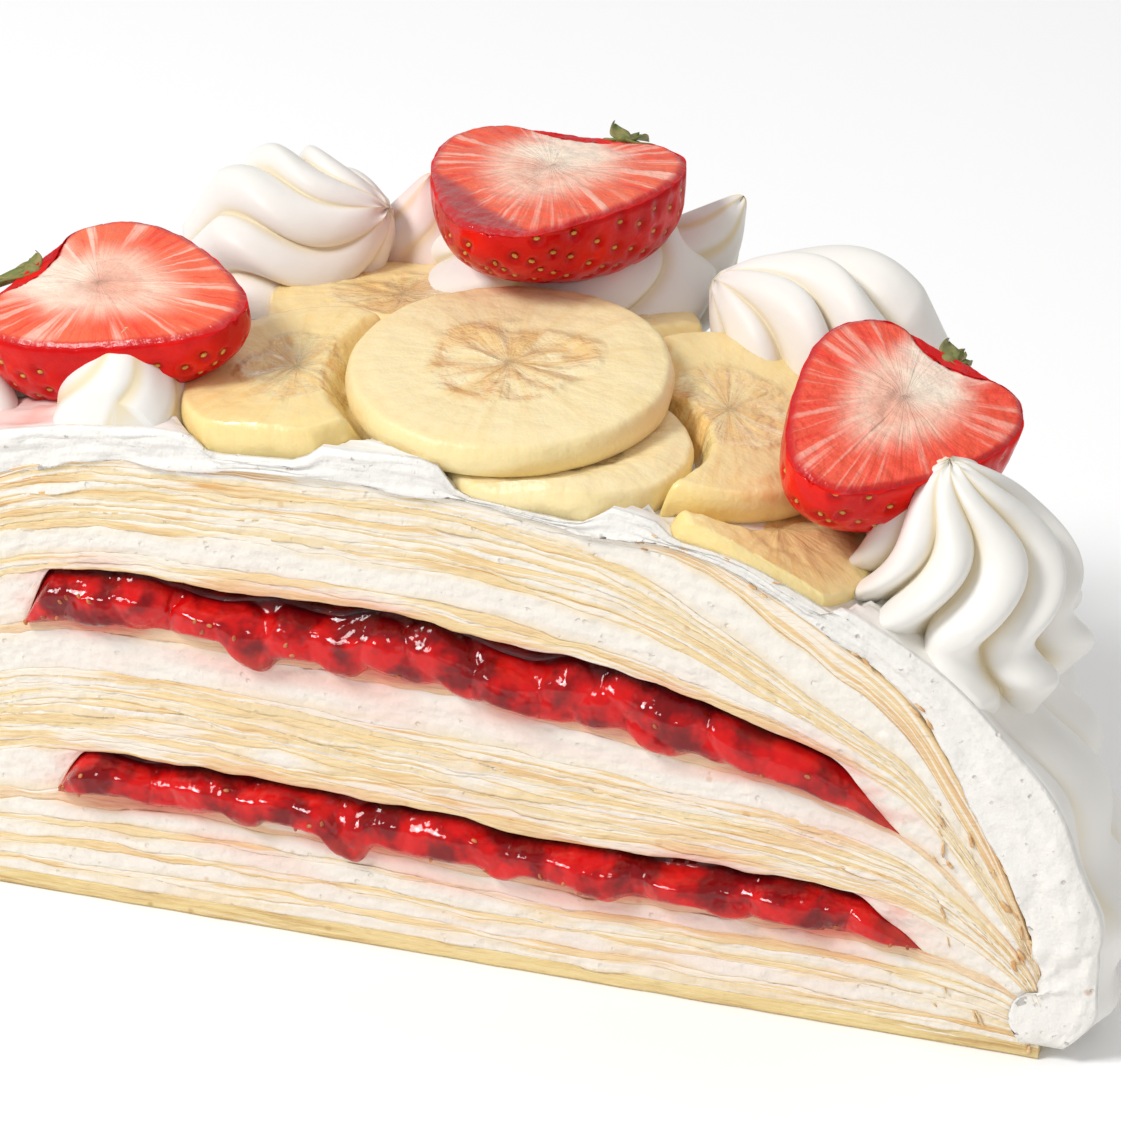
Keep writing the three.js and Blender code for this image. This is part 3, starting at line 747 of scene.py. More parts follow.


# Jam: a lumpy wet front that hangs a little over the crepe under it, with recessed pockets over it that get a
# painted shadow
jamSettings = {
    "jam_lower": {
        "middle": 6.0, "reach": 49.3, "seed": 5, "pockets": [(-34, 3, 0.8), (30, 5, 0.7)],
        "drips": [(-9.1, 2.6, 4.2), (-21, 1.0, 3.4), (8.3, 0.7, 3.5), (19.6, 1.0, 4.0), (34.0, 1.0, 5.0)],
    },
    "jam_upper": {
        "middle": 3.2, "reach": 49.2, "seed": 11, "pockets": [(-24, 6, 1.5), (-11, 5, 1.6), (10, 5, 1.7)],
        "drips": [(-19.5, 2.3, 4.4), (-9.0, 1.5, 3.6), (4.5, 1.0, 4.0), (26.0, 1.1, 5.0), (14, 0.6, 4)],
    },
}
jamForm = {"columns": 620, "rows": 54, "lumps": 30, "lumpSize": (2.6, 4.8), "smallLumps": 70,
           "smallLumpSize": (0.9, 1.7), "taper": 9.0, "leftTaper": 3.5,
           "recess": 1.7, "seeds": 18, "seedSize": (0.36, 0.2, 0.22)}
jamSeeds = bmesh.new()


def jamRoom(x, y, settings):  # how much of the filling's height is jam
    away = math.hypot(x - settings["middle"], y)
    inside = settings["reach"] - away
    leftward = ease((settings["middle"] - x) / max(1.0, away), 0.3, 0.95)
    taper = mix(jamForm["taper"], jamForm["leftTaper"], leftward)
    return ease(inside, -0.3, taper) ** 0.6 if inside > -0.3 else 0.0


def jamPiece(index):
    name = layerNames[index]
    settings = jamSettings[name]
    draw = random.Random(settings["seed"])
    lumps = []
    for number in range(jamForm["lumps"]):
        across = 2 * (number + draw.random()) / jamForm["lumps"] - 1
        x = settings["middle"] + 0.97 * settings["reach"] * across
        way = draw.choice((0.2, 0.28, 0.45, 0.62)) + draw.uniform(-0.06, 0.06)
        size = draw.uniform(*jamForm["lumpSize"])
        lumps.append((x, way, size, draw.uniform(0.35, 0.6) * size))

    for number in range(jamForm["smallLumps"]):
        size = draw.uniform(*jamForm["smallLumpSize"])
        x = settings["middle"] + settings["reach"] * draw.uniform(-0.98, 0.98)
        lumps.append((x, draw.uniform(0.1, 0.75), size, 0.45 * size))
    for dripX, dropBy, wide in settings["drips"]:
        lumps.append((dripX, 0.12, 0.7 * wide, 0.4 * wide))

    low = heightOf(index)

    def high(x, y):
        bottom, top = boundaries(x, y)[index], boundaries(x, y)[index + 1]
        gap = 0.1 + 0.5 * max(0.0, ripple(x * 0.16, index * 1.7, 3))
        for pocketX, wide, depth in settings["pockets"]:
            gap += depth * math.exp(-((x - pocketX) / wide) ** 2)
        gap *= (1 - ease(y, 0.5, 8)) * ease(settings["reach"] - abs(x - settings["middle"]), 1, 9)
        return bottom + max(0.05, (top - bottom) * jamRoom(x, y, settings) - max(0.0, gap))

    def back(x):
        return math.sqrt(max(0.0, settings["reach"] ** 2 - (x - settings["middle"]) ** 2))

    def face(x, way, bottom, top):
        hang = 0.5 + 0.4 * ripple(x * 0.3, 7, index)
        for dripX, dropBy, wide in settings["drips"]:
            hang += dropBy * math.exp(-((x - dripX) / wide * 1.7) ** 4)
        room = jamRoom(x, 0, settings)
        hang *= room
        z = mix(bottom - hang, top, way)
        tall = max(0.3, top - bottom + hang)
        swell = 0.0
        for lumpX, lumpWay, size, height in lumps:
            if abs(lumpX - x) < size:
                away = ((x - lumpX) ** 2 + ((way - lumpWay) * tall) ** 2) / size ** 2
                if away < 1:
                    swell = max(swell, height * math.sqrt(1 - away))
        fine = 0.12 * rough(x * 0.6, z * 0.6, index, 2)
        sides = math.sin(math.pi * min(0.5, way * 1.9)) ** 0.5 if way < 0.26 else 1 - 0.5 * ease(way, 0.6, 1)
        recess = jamForm["recess"] * ease(way, 0.58, 1.0)
        out = (0.3 + 0.95 * swell + fine) * sides * (0.6 + 0.4 * room)
        return recess * room - out, z

    start, end = settings["middle"] - settings["reach"], settings["middle"] + settings["reach"]
    bm = slab(start, end, (jamForm["columns"], jamForm["rows"]), cutLine, back, low, high, face, index)
    thin = bm.verts.layers.float.new("thin")
    pocketShadow = bm.verts.layers.float.new("pocketShadow")
    for vert in bm.verts:
        x, y, z = vert.co
        if y > 3:
            continue
        bottom, top = boundaries(round(x, 2), 0.0)[index:index + 2]
        upper = ease(z, mix(bottom, top, 0.45), mix(bottom, top, 0.9))
        # Painted shadow for the top of the jam near the cut, darkest where it sits back
        vert[pocketShadow] = 0.95 * ease(y, -0.8, 0.9) * upper
        lowEdge = 1 - ease(z - bottom, -1.2, 0.9)
        amount = max(lowEdge * 0.7, 1 - jamRoom(x, 0, settings))
        vert[thin] = max(0.0, amount * (0.6 + 0.5 * ripple(x * 0.4, z * 0.4, 3)))
    proud = [vert.co.copy() for vert in bm.verts if vert.co.y < -0.9]
    for spot in draw.sample(proud, min(len(proud), jamForm["seeds"])):
        turn = Matrix.Rotation(draw.uniform(0, math.pi), 4, "Y")
        place = Matrix.Translation(spot) @ turn @ Matrix.Diagonal((*jamForm["seedSize"], 1))
        bmesh.ops.create_icosphere(jamSeeds, subdivisions=2, radius=1.0, matrix=place)
    return finishPiece("fine_" + name, bm, finishes["jam"], [name])


def ringPiece(index):
    name = layerNames[index].replace("jam", "cream_ring")
    settings = jamSettings[layerNames[index]]
    inner = settings["reach"] - jamForm["taper"]

    def low(x, y):
        bottom, top = boundaries(x, y)[index], boundaries(x, y)[index + 1]
        return mix(bottom, top, min(0.985, jamRoom(x, y, settings)))

    high = heightOf(index + 1)

    def front(x):
        return math.sqrt(max(0.0, inner ** 2 - (x - settings["middle"]) ** 2))

    cream = creamFace(index)

    def face(x, way, bottom, top):
        if front(x) > 0:
            return 0.0, mix(bottom, top, way)
        offset, z = cream(x, way, bottom, top)
        opened = ease(top - bottom, 0.1, 1.5)
        return offset * opened, mix(mix(bottom, top, way), z, opened)

    reach = layerReach
    rows = round(layers[index][1] * layerCream["rowsPerMm"])
    bm = slab(-reach, reach, (stack["columns"], rows), front, rimDepth, low, high, face, index)
    return finishPiece("fine_" + name, bm, finishes["cream"], [name])


for index, name in enumerate(layerNames):
    if name.startswith("crepe"):
        crepePiece(index)
    elif name.startswith("cream"):
        creamPiece(index)
    else:
        jamPiece(index)
        ringPiece(index)
finishPiece("jam_seeds", jamSeeds, finishes["jamSeed"])
print("layers made")

# Banana slices, the one that lies on top first: middle, half length along X and Y, tilt about X and Y
slices = [
    {"at": (3.8, 18.5, 62.8), "half": (17.8, 18.3), "tilt": (0.07, 0.02)},
    {"at": (-18.5, 13.5, 61.5), "half": (12.5, 15.5), "tilt": (0.05, -0.06)},
    {"at": (12, 11.5, 59.4), "half": (14, 13), "tilt": (0.04, 0.12)},
    {"at": (26.5, 23.5, 58.2), "half": (14.5, 19.5), "tilt": (-0.02, 0.22)},
    {"at": (-15, 38, 59.8), "half": (15.5, 14), "tilt": (-0.1, -0.04)},
    {"at": (5.5, 39.5, 60.0), "half": (14, 12), "tilt": (-0.1, 0.08)},
    {"at": (35.5, 8.5, 53.6), "half": (11.5, 12.5), "tilt": (0, 0.42), "plain": True},
]
bananaForm = {"thickness": 4.2, "steps": 168, "core": 0.46, "topCells": 0.55, "cells": 0.25,
              "flat": 0.93, "flatSteps": 30, "sideSteps": 12}


def slicePlace(item):
    tiltX, tiltY = item["tilt"]
    turn = Matrix.Rotation(tiltY, 4, "Y") @ Matrix.Rotation(tiltX, 4, "X")
    return Matrix.Translation(item["at"]) @ turn


def sliceLevel(item, x, y):  # height of the slice's middle plane, and how far out the point is
    place = slicePlace(item)
    up = place.to_3x3() @ Vector((0, 0, 1))
    dx, dy = x - item["at"][0], y - item["at"][1]
    z = item["at"][2] - (up.x * dx + up.y * dy) / up.z
    return z, math.hypot(dx / item["half"][0], dy / item["half"][1])


def sagUnder(number, x, y):  # how far slice number bends down under those that lie on it
    sag = 0.0
    own = sliceLevel(slices[number], x, y)[0] + bananaForm["thickness"] / 2
    for other in slices[:number]:
        level, out = sliceLevel(other, x, y)
        over = own - (level - bananaForm["thickness"] / 2)
        if out < 1.15 and over > 0:
            sag = max(sag, over * (1 - ease(out, 0.97, 1.15)))
    return sag


def bananaPiece(number):
    item = slices[number]
    halfHigh, flat = bananaForm["thickness"] / 2, bananaForm["flat"]
    flatSteps, sideSteps = bananaForm["flatSteps"], bananaForm["sideSteps"]
    profile = []
    for step in range(flatSteps + 1):  # across the underside
        profile.append((step / flatSteps * flat, -halfHigh))
    for step in range(1, sideSteps):  # round the side
        turn = math.pi * (step / sideSteps - 0.5)
        profile.append((flat + 0.07 * math.cos(turn) ** 0.8, halfHigh * math.sin(turn)))
    for step in range(flatSteps, -1, -1):  # back over the top
        profile.append((step / flatSteps * flat, halfHigh))
    bm = spinOutline([(radius, 0, z) for radius, z in profile], (0, 0, 1), bananaForm["steps"])
    rayLayer = bm.verts.layers.float_vector.new("ray")
    discLayer = bm.verts.layers.float.new("disc")
    sideLayer = bm.verts.layers.float.new("side")
    place = slicePlace(item)
    for vert in bm.verts:
        x, y, z = vert.co
        rho, angle = math.hypot(x, y), math.atan2(y, x)
        vert[rayLayer] = (math.cos(angle) + 3 * number, math.sin(angle), rho)
        vert[discLayer] = max(rho, 0.68) if "plain" in item else rho
        vert[sideLayer] = 1 - ease(z, halfHigh * 0.55, halfHigh * 0.97)
        out = 1 + 0.035 * ripple(math.cos(angle), math.sin(angle), number * 5) + 0.012 * ripple(
            4 * math.cos(angle), 4 * math.sin(angle), number * 5)
        if z > 0:
            inward = rho + 0.08 * ripple(3 * x, 3 * y, number)
            core = 1 - ease(inward, bananaForm["core"] - 0.06, bananaForm["core"] + 0.05)
            cells = ripple(math.cos(angle) * 2.6, math.sin(angle) * 2.6, rho * 4 + number)
            swollen = bananaForm["topCells" if number == 0 else "cells"] * cells * ease(rho, 0.04, 0.25)
            z += core * (swollen - 0.22) + 0.1 * rough(x * 7, y * 7, number, 3)
            z -= 0.25 * ease(rho, 0.8, 0.93)
        vert.co = place @ Vector((x * out * item["half"][0], y * out * item["half"][1], z))
        vert.co.z -= sagUnder(number, vert.co.x, vert.co.y)
    trimAtCut(bm)
    name = f"banana_{number + 1}"
    finish = finishes["banana" if number in (0, 2) else "wetBanana"]
    return finishPiece("fine_" + name, bm, finish, [name])


for number in range(len(slices)):
    bananaPiece(number)
print("banana slices made")

# Half strawberries: middle of the cut face, its upward normal, the way the tip points, and the sizes
berries = [
    {"name": "left", "at": (-38.1, 13.2, 69.8), "normal": (-0.12, -0.18, 1), "tip": (0.955, -0.3, 0),
     "size": (30.4, 25.1, 13), "cap": (1.2, 0.5), "pale": 0.9, "bruised": 0},
    {"name": "middle", "at": (-0.4, 43, 75.5), "normal": (0, 0.01, 1), "tip": (-0.04, -1, 0),
     "size": (31.8, 28.9, 13), "cap": (-0.7, 4.2), "pale": 0.6, "bruised": 1},
    {"name": "right", "at": (45.7, 16.3, 65.5), "normal": (0.28, -0.17, 1), "tip": (-0.26, -0.97, 0),
     "size": (30.7, 23.4, 14.5), "cap": (1.2, -0.3), "pale": 0.25, "bruised": 0},
]
berryForm = {"profile": 130, "steps": 100, "seedGap": 3.0, "pitWidth": 1.2, "pitDepth": 0.42,
             "fullness": 0.6, "endFullness": 0.8, "scallop": 0.014, "outlineSteps": 240}


def berryPlace(berry):
    up = Vector(berry["normal"]).normalized()
    forward = Vector(berry["tip"])
    forward = (forward - up * forward.dot(up)).normalized()
    sideways = up.cross(forward)
    turn = Matrix((forward, sideways, up)).transposed().to_4x4()
    return Matrix.Translation(berry["at"]) @ turn


def berryProfile(turn):
    dent = 1 - 0.2 * math.exp(-((turn / 0.2) ** 2))
    radius = max(0.0, math.sin(turn)) ** 0.65 * (1 + 0.43 * math.cos(turn)) / 1.11
    return -math.cos(turn) * dent, radius


def berrySkin(berry, turn, angle):  # a point of the round side, the angle runs from -pi to 0
    length, width, depth = berry["size"]
    axial, radius = berryProfile(turn)
    down = -(radius ** berryForm["endFullness"]) * abs(math.sin(angle)) ** berryForm["fullness"]
    return Vector((axial * length / 2, radius * math.cos(angle) * width / 2, down * depth))


def berrySeedSpots(berry):  # staggered rows round the skin: place, outward way and way to the tip
    length, width, depth = berry["size"]
    draw = random.Random(len(berry["name"]) * 7)
    spots = []
    rows = round(length * 1.3 / berryForm["seedGap"])
    for row in range(1, rows):
        turn = math.pi * (0.1 + 0.87 * row / rows)
        around = math.pi * berryProfile(turn)[1] * (width / 2 + depth) / 2
        count = max(2, round(around / berryForm["seedGap"]))
        for k in range(count):
            angle = -math.pi * (k + (0.5 if row % 2 else 0.05) + draw.uniform(-0.15, 0.15)) / count
            angle = min(-0.05, max(-math.pi + 0.05, angle))
            own = turn + draw.uniform(-0.03, 0.03)
            point = berrySkin(berry, own, angle)
            along = (berrySkin(berry, own + 0.02, angle) - point).normalized()
            across = berrySkin(berry, own, angle + 0.01) - berrySkin(berry, own, angle - 0.01)
            out = along.cross(across).normalized()
            if out.dot(Vector((0, point.y, point.z))) < 0:
                out = -out
            spots.append((point, out, along))
    return spots


seedsMesh = bmesh.new()
berryMiddle = -0.24  # of the face, along its axis


def berryPiece(berry):
    length, width, depth = berry["size"]
    name = "strawberry_" + berry["name"]
    seed = len(berry["name"]) * 3.1
    steps = berryForm["profile"]
    points = []
    for step in range(steps + 1):
        axial, radius = berryProfile(math.pi * step / steps)
        points.append((axial, 0 if step in (0, steps) else radius, 0))
    bm = spinOutline(points, (1, 0, 0), 2 * berryForm["steps"])
    spots = berrySeedSpots(berry)
    tree = kdtree.KDTree(len(spots))
    for number, (point, out, along) in enumerate(spots):
        tree.insert(point, number)
    tree.balance()
    # How far the outline lies from the middle of the face, by direction
    outline = []
    for step in range(berryForm["outlineSteps"] + 1):
        axial, radius = berryProfile(math.pi * step / berryForm["outlineSteps"])
        outline.append((math.atan2(radius, axial - berryMiddle), math.hypot(radius, axial - berryMiddle)))
    rayLayer = bm.verts.layers.float_vector.new("ray")
    discLayer = bm.verts.layers.float.new("disc")
    capLayer = bm.verts.layers.float.new("cap")
    paleLayer = bm.verts.layers.float.new("pale")
    darkLayer = bm.verts.layers.float.new("dark")
    pitShadeLayer = bm.verts.layers.float.new("pitDepthAndShade")
    for vert in bm.verts:
        x, y, z = vert.co
        onFace = z > -1e-6
        angle = math.atan2(y, x - berryMiddle)
        rho = 1.0
        if onFace:
            edge = min(outline, key=lambda spot: abs(spot[0] - abs(angle)))[1]
            rho = min(1.0, math.hypot(x - berryMiddle, y) / edge)
        vert[rayLayer] = (math.cos(angle) + seed, math.sin(angle), rho)
        vert[discLayer] = rho
        toCap = math.hypot((x + 0.8) / 0.85, y / 0.5) + 0.35 * ripple(4 * x, 4 * y, seed)
        vert[capLayer] = (1 - ease(toCap, 0.35, 1.0)) * 0.85
        vert[paleLayer] = berry["pale"] * (0.75 + 0.5 * ripple(2 * x, 2 * y, seed))
        if onFace:
            bruise = x - 0.81 * (y + 0.95) + 0.12 * ripple(3 * x, 3 * y, 8)
            vert[darkLayer] = berry["bruised"] * ease(bruise, -0.08, 0.06)
            point = Vector((x * length / 2, y * width / 2, 0))
            point.z += 0.35 * (1 - rho ** 2) + 0.14 * rough(point.x * 0.5, point.y * 0.5, seed, 3)
            slit = math.exp(-((y - 0.12 * x - 0.05 * math.sin(9 * x)) / 0.05) ** 2)
            slit *= 1 - ease(abs(x + 0.1), 0.2, 0.42)
            point.z -= 0.4 * ease(rho, 0.94, 1.0) + 0.35 * slit
        else:
            turn = math.acos(max(-1.0, min(1.0, -x)))
            point = berrySkin(berry, turn, math.atan2(z, y))
            if x <= -0.8:
                point = Vector((x * length / 2, y * width / 2, z * depth))
            number, away = tree.find(point)[1:]
            pitDepthAndShade = max(0.0, 1 - (away / berryForm["pitWidth"]) ** 2) ** 2
            # The pit's depth dents the skin and is painted as shade there
            vert[pitShadeLayer] = pitDepthAndShade
            point -= spots[number][1] * berryForm["pitDepth"] * pitDepthAndShade
        scallop = berryForm["scallop"] * ripple(8 * math.cos(angle) + seed, 8 * math.sin(angle), 3)
        scallop *= math.exp(-((z / 0.12) ** 2)) * ease(rho, 0.8, 1)
        vert.co = point * (1 + 0.015 * ripple(x * 1.5 + seed, y * 1.5, z * 1.5) + scallop)
    bm.normal_update()
    for face in bm.faces:
        face.material_index = 1 if face.calc_center_median().z > -0.35 and face.normal.z > 0.3 else 0
    place = berryPlace(berry)
    bmesh.ops.transform(bm, matrix=place, verts=bm.verts)
    for point, out, along in spots:
        side = out.cross(along)
        sit = Matrix((along * 0.42, side * 0.25, out * 0.18)).transposed().to_4x4()
        spot = point - out * (berryForm["pitDepth"] * 0.75)
        bmesh.ops.create_uvsphere(seedsMesh, u_segments=8, v_segments=5, radius=1.0,
                                  matrix=place @ Matrix.Translation(spot) @ sit)
    finishPiece("fine_" + name, bm, [finishes["skin"], finishes["flesh"]], [name])


for berry in berries:
    berryPiece(berry)
finishPiece("berry_seeds", seedsMesh, finishes["achene"])
print("strawberries made")

# What is left of the green caps: a few dry wavy leaves on a short stub
calyxForm = {"leaves": 5, "length": 5.2, "width": 2.1, "thickness": 0.3}


def calyxPiece(berry):
    length = berry["size"][0]
    draw = random.Random(len(berry["name"]) + 3)
    whole = bmesh.new()
    for number in range(calyxForm["leaves"]):
        leaf = bmesh.new()
        bmesh.ops.create_grid(leaf, x_segments=12, y_segments=6, size=1.0)
        curl = draw.uniform(-0.5, 0.5)
        longer = calyxForm["length"] * draw.uniform(0.6, 1.05)
        for vert in leaf.verts:
            way, side = (vert.co.x + 1) / 2, vert.co.y
            half = calyxForm["width"] / 2 * math.sin(math.pi * min(1, 0.25 + 0.75 * way)) ** 0.8 + 0.06
            z = curl * way * way * 2.2 + 0.35 * side * side + 0.2 * math.sin(5 * way + number) * side
            vert.co = (way * longer, side * half, z)
        bmesh.ops.solidify(leaf, geom=leaf.faces, thickness=calyxForm["thickness"])
        fan = (number / (calyxForm["leaves"] - 1) - 0.5) * 2.3 + draw.uniform(-0.15, 0.15)
        turn = Matrix.Rotation(fan, 4, "Z") @ Matrix.Rotation(draw.uniform(-0.5, 0.2), 4, "Y")
        bmesh.ops.transform(leaf, matrix=turn, verts=leaf.verts)
        joinInto(whole, leaf)
    bmesh.ops.create_uvsphere(whole, u_segments=16, v_segments=10, radius=1.0,
                              matrix=Matrix.Diagonal((1.1, 0.9, 0.7, 1)))
    sit = Matrix.Translation((berry["cap"][0] - length / 2, berry["cap"][1], -0.9))
    sit = sit @ Matrix.Rotation(-0.5, 4, "Y") @ Matrix.Rotation(math.pi, 4, "Z")
    bmesh.ops.transform(whole, matrix=berryPlace(berry) @ sit, verts=whole.verts)
    bmesh.ops.recalc_face_normals(whole, faces=whole.faces)
    name = "calyx_" + berry["name"]
    finishPiece("fine_" + name, whole, finishes["leaf"], [name])


for berry in berries:
    calyxPiece(berry)
print("caps made")

# Piped swirls: radius, height, number of ridges, how far they wind round and how deep the grooves are
swirl = {"radius": 10.8, "height": 18, "lobes": 7, "turns": 0.1, "depth": 0.5, "sink": 2, "sway": 0.3,
         "waist": 0.14, "pointed": 0.0, "foot": 3.0, "sharp": 0.6}
dollop = {**swirl, "radius": 8, "height": 12, "lobes": 5, "turns": 0.2, "depth": 0.12, "sway": 0.1,
          "waist": 0.0, "pointed": 0.3, "sharp": 1.2}
atEnds = {**swirl, "radius": 11.6, "height": 24.5, "lobes": 9, "depth": 0.42, "sharp": 0.75}
behind = {"sway": 0.08, "waist": 0.0, "foot": 6.0}
swirls = [
    {"name": "rosette_right", "form": atEnds, "at": (56.2, 12, 41), "lean": (-0.12, -0.03, 1)},
    {"name": "rosette_left", "form": atEnds, "at": (-59, 12, 44), "lean": (0.12, -0.03, 1)},
    {"name": "rosette_back_right", "form": {**swirl, **behind, "height": 22, "depth": 0.38, "turns": 0.22},
     "at": (36.2, 48, 54), "lean": (-0.78, -0.12, 0.5)},
    {"name": "rosette_back_left", "form": {**swirl, **behind, "lobes": 8, "depth": 0.3, "turns": 0.25},
     "at": (-34.6, 48, 60), "lean": (0.8, 0, 0.42)},
    {"name": "cream_peak", "form": dollop, "at": (-35.5, 5.5, 58.5), "lean": (0.05, 0.05, 1)},
    {"name": "cream_tip_right", "form": {**dollop, "radius": 5.5, "height": 13, "foot": 5.0},
     "at": (12.5, 57, 60), "lean": (0.55, 0.2, 0.8)},
    {"name": "cream_tip_left", "form": {**dollop, "radius": 6.5, "height": 11, "foot": 5.0},
     "at": (-18, 55, 60), "lean": (0.1, 0, 1), "blush": 0.6},
    {"name": "rosette_back_middle",
     "form": {**swirl, **behind, "radius": 16.5, "height": 15, "turns": 0.2, "depth": 0.14},
     "at": (0.5, 54, 57), "lean": (0, 0.1, 1)},
]
swirlMesh = {"segments": 216, "rows": 72}


def swirlPiece(number):
    item = swirls[number]
    form = item["form"]
    bm = bmesh.new()
    bmesh.ops.create_cone(bm, cap_ends=True, cap_tris=True, segments=swirlMesh["segments"],
                          radius1=1.0, radius2=1.0, depth=1.0)
    walls = [e for e in bm.edges if abs(e.verts[0].co.z - e.verts[1].co.z) > 0.5]
    bmesh.ops.subdivide_edges(bm, edges=walls, cuts=swirlMesh["rows"] - 1)
    grooveShadeLayer = bm.verts.layers.float.new("grooveShade")
    blushLayer = bm.verts.layers.float.new("blush")
    up = Vector(item["lean"]).normalized()
    place = Matrix.Translation(item["at"]) @ Vector((0, 0, 1)).rotation_difference(up).to_matrix().to_4x4()
    for vert in bm.verts:
        level = vert.co.z + 0.5
        onAxis = math.hypot(vert.co.x, vert.co.y) < 0.5
        angle = math.atan2(vert.co.y, vert.co.x)
        bulge = math.sqrt(max(0.0, 1 - level ** 1.7)) * (0.86 + 0.3 * math.sin(2.6 * level + 0.4))
        uneven = 0.35 * math.sin(2 * angle + number) + 0.2 * math.sin(3 * angle + 2 * number)
        crest = abs(math.cos((angle * form["lobes"] + uneven) / 2)) ** form["sharp"]
        star = 1 + form["depth"] * (crest - 0.72)
        fuller = 1 + 0.05 * ripple(2 * math.cos(angle), 2 * math.sin(angle), level + number)
        down = 1 - level + 0.04 * math.sin(2 * angle + number)
        waist = 1 - form["waist"] * math.exp(-(((down - 0.68) / 0.1) ** 2))
        reach = form["radius"] * bulge * star * fuller * waist * (1 - form["pointed"] * level)
        sway = form["sway"] * math.sin(2 * math.pi * (down - 0.11) / 0.76)
        turn = angle + form["turns"] * 2 * math.pi * level + sway
        z = level * form["height"] - form["sink"] + 0.6 * (1 - crest) * level
        under = 1 - ease(level, 0.0, 0.12)
        z -= form["foot"] * under
        reach *= 1 - 0.34 * under
        vert.co = (0, 0, z) if onAxis else (reach * math.cos(turn), reach * math.sin(turn), z)
        # How deep in a groove the point lies, which the piped cream paints as shade
        vert[grooveShadeLayer] = 1 - crest
        vert[blushLayer] = item.get("blush", 0) * (0.5 + 0.5 * ripple(3 * level, turn, number))
    bmesh.ops.remove_doubles(bm, verts=bm.verts, dist=1e-3)
    bmesh.ops.recalc_face_normals(bm, faces=bm.faces)
    bmesh.ops.transform(bm, matrix=place, verts=bm.verts)
    trimAtCut(bm)
    finishPiece("fine_" + item["name"], bm, finishes["piped"], [item["name"]])


for number in range(len(swirls)):
    swirlPiece(number)
print("rosettes made")

# Cream coat: an arch of cream over the layers, piped in upright strokes round its side
coat = {"radius": 74.6, "top": 3.8, "foot": 1.5, "wall": 11.9, "footRound": 5.5, "firstStep": 0.03,
        "strokes": 15, "strokeDepth": 3.6, "gap": 0.25,
        "columns": 380, "footRows": 16, "domeRows": 84, "cutRows": 22}


def strokeRelief(angle, level, z):
    nearCut = 0.3 + 0.7 * min(1.0, min(angle, math.pi - angle) / 0.05)
    wavy = 0.35 * level + 0.75 * math.sin(9 * level + 2.5 * angle) + 0.5 * ripple(3 * angle, 2 * level, 8)
    phase = abs(math.sin(coat["strokes"] * (angle - 0.02) + wavy))
    tiers = 1.3 * math.sin(0.45 * z + 6 * angle + 1.5 * ripple(4 * angle, z * 0.05, 4))
    relief = coat["strokeDepth"] * (phase ** 0.7 - 0.42) + tiers
    return relief * nearCut, (1 - phase ** 0.7) * nearCut


def topLimit(x, y):  # underside of what lies on the coat
    limit = 1e3
    for number, item in enumerate(slices):
        level, out = sliceLevel(item, x, y)
        if out < 1.3:
            under = level - bananaForm["thickness"] / 2 - sagUnder(number, x, y)
            limit = min(limit, under + 0.3 + 9 * ease(out, 0.93, 1.3))
    return limit


def coatSpot(angle, step, inside):  # a point of the outer or inner side, and how deep in a groove it lies
    footRows, domeRows = coat["footRows"], coat["domeRows"]
    right = math.cos(angle)
    low = step <= footRows
    way = step / footRows if low else mix(coat["firstStep"], 1.0, (step - footRows) / domeRows)
    share = 1.0 if low else 1 - way ** 2.2
    wallTop = coat["foot"] + coat["wall"]
    if inside:
        radius = (stack["radius"] + coat["gap"]) * share
        rimX, rimY = stack["radius"] * share * right, stack["radius"] * share * math.sin(angle)
        top = boundaries(rimX, rimY)[-1] + (0.0 if low else coat["gap"])
        z = min(mix(coat["foot"], wallTop, way), top) if low else top
        return radius * right, radius * math.sin(angle), z, 0.0
    if low:
        z = mix(coat["foot"], wallTop, way)
        raised = min(1.0, (z - coat["foot"]) / coat["footRound"])
        radius = coat["radius"] - 3.6 * (1 - raised) ** 1.6
        relief, grooveShade = strokeRelief(angle, way * 0.3, z)
        relief *= ease(raised, -0.2, 0.8)
    else:
        radius = coat["radius"] * share
        z = max(wallTop, evenTop(share, right) + coat["top"] * (1 - share ** 5))
        relief, grooveShade = strokeRelief(angle, 0.3 + 0.7 * way * ease(way, 0, 0.12), z)
        fade = max(0.0, (share - 0.7) / 0.3)
        relief *= fade
        grooveShade *= fade
    x, y = (radius + relief) * right, (radius + relief) * math.sin(angle)
    z += 0.25 * ripple(x * 0.15, y * 0.15, 2) * ease(z, 20, 45)
    z += 0.6 * rough(x * 0.3, y * 0.3, 7, 4) * ease(z, 40, 50) * (1 - ease(y, 8, 20)) * ease(y, 0, 1.5)
    film = boundaries(stack["radius"] * share * right, stack["radius"] * share * math.sin(angle))[-1] + 0.45
    z = min(z, topLimit(x, y))
    return x, y, z if low else max(z, film), grooveShade


def torn(line, way):  # relief of the cut cream, and how far it laps over the outer crepe
    relief = 0.6 + 0.42 * rough(line * 0.2, way * 3.6, 5, 4) + 0.35 * ripple(line * 0.05, way * 1.5, 9)
    lap = max(0.03, 0.1 + 0.3 * ripple(line * 0.09, 2.5, 6) + 0.1 * ripple(line * 0.33, 1.5, 6))
    fromFoot = min(line, 2 * (coat["footRows"] + coat["domeRows"]) - line)
    lap += 0.5 * (1 - ease(fromFoot, 4, 13)) * (1 + 0.6 * ripple(line * 0.3, 4.5, 6))
    return max(0.3, relief), lap


blushSpot = (-47.0, 5.0)  # where the left berry has coloured the coat


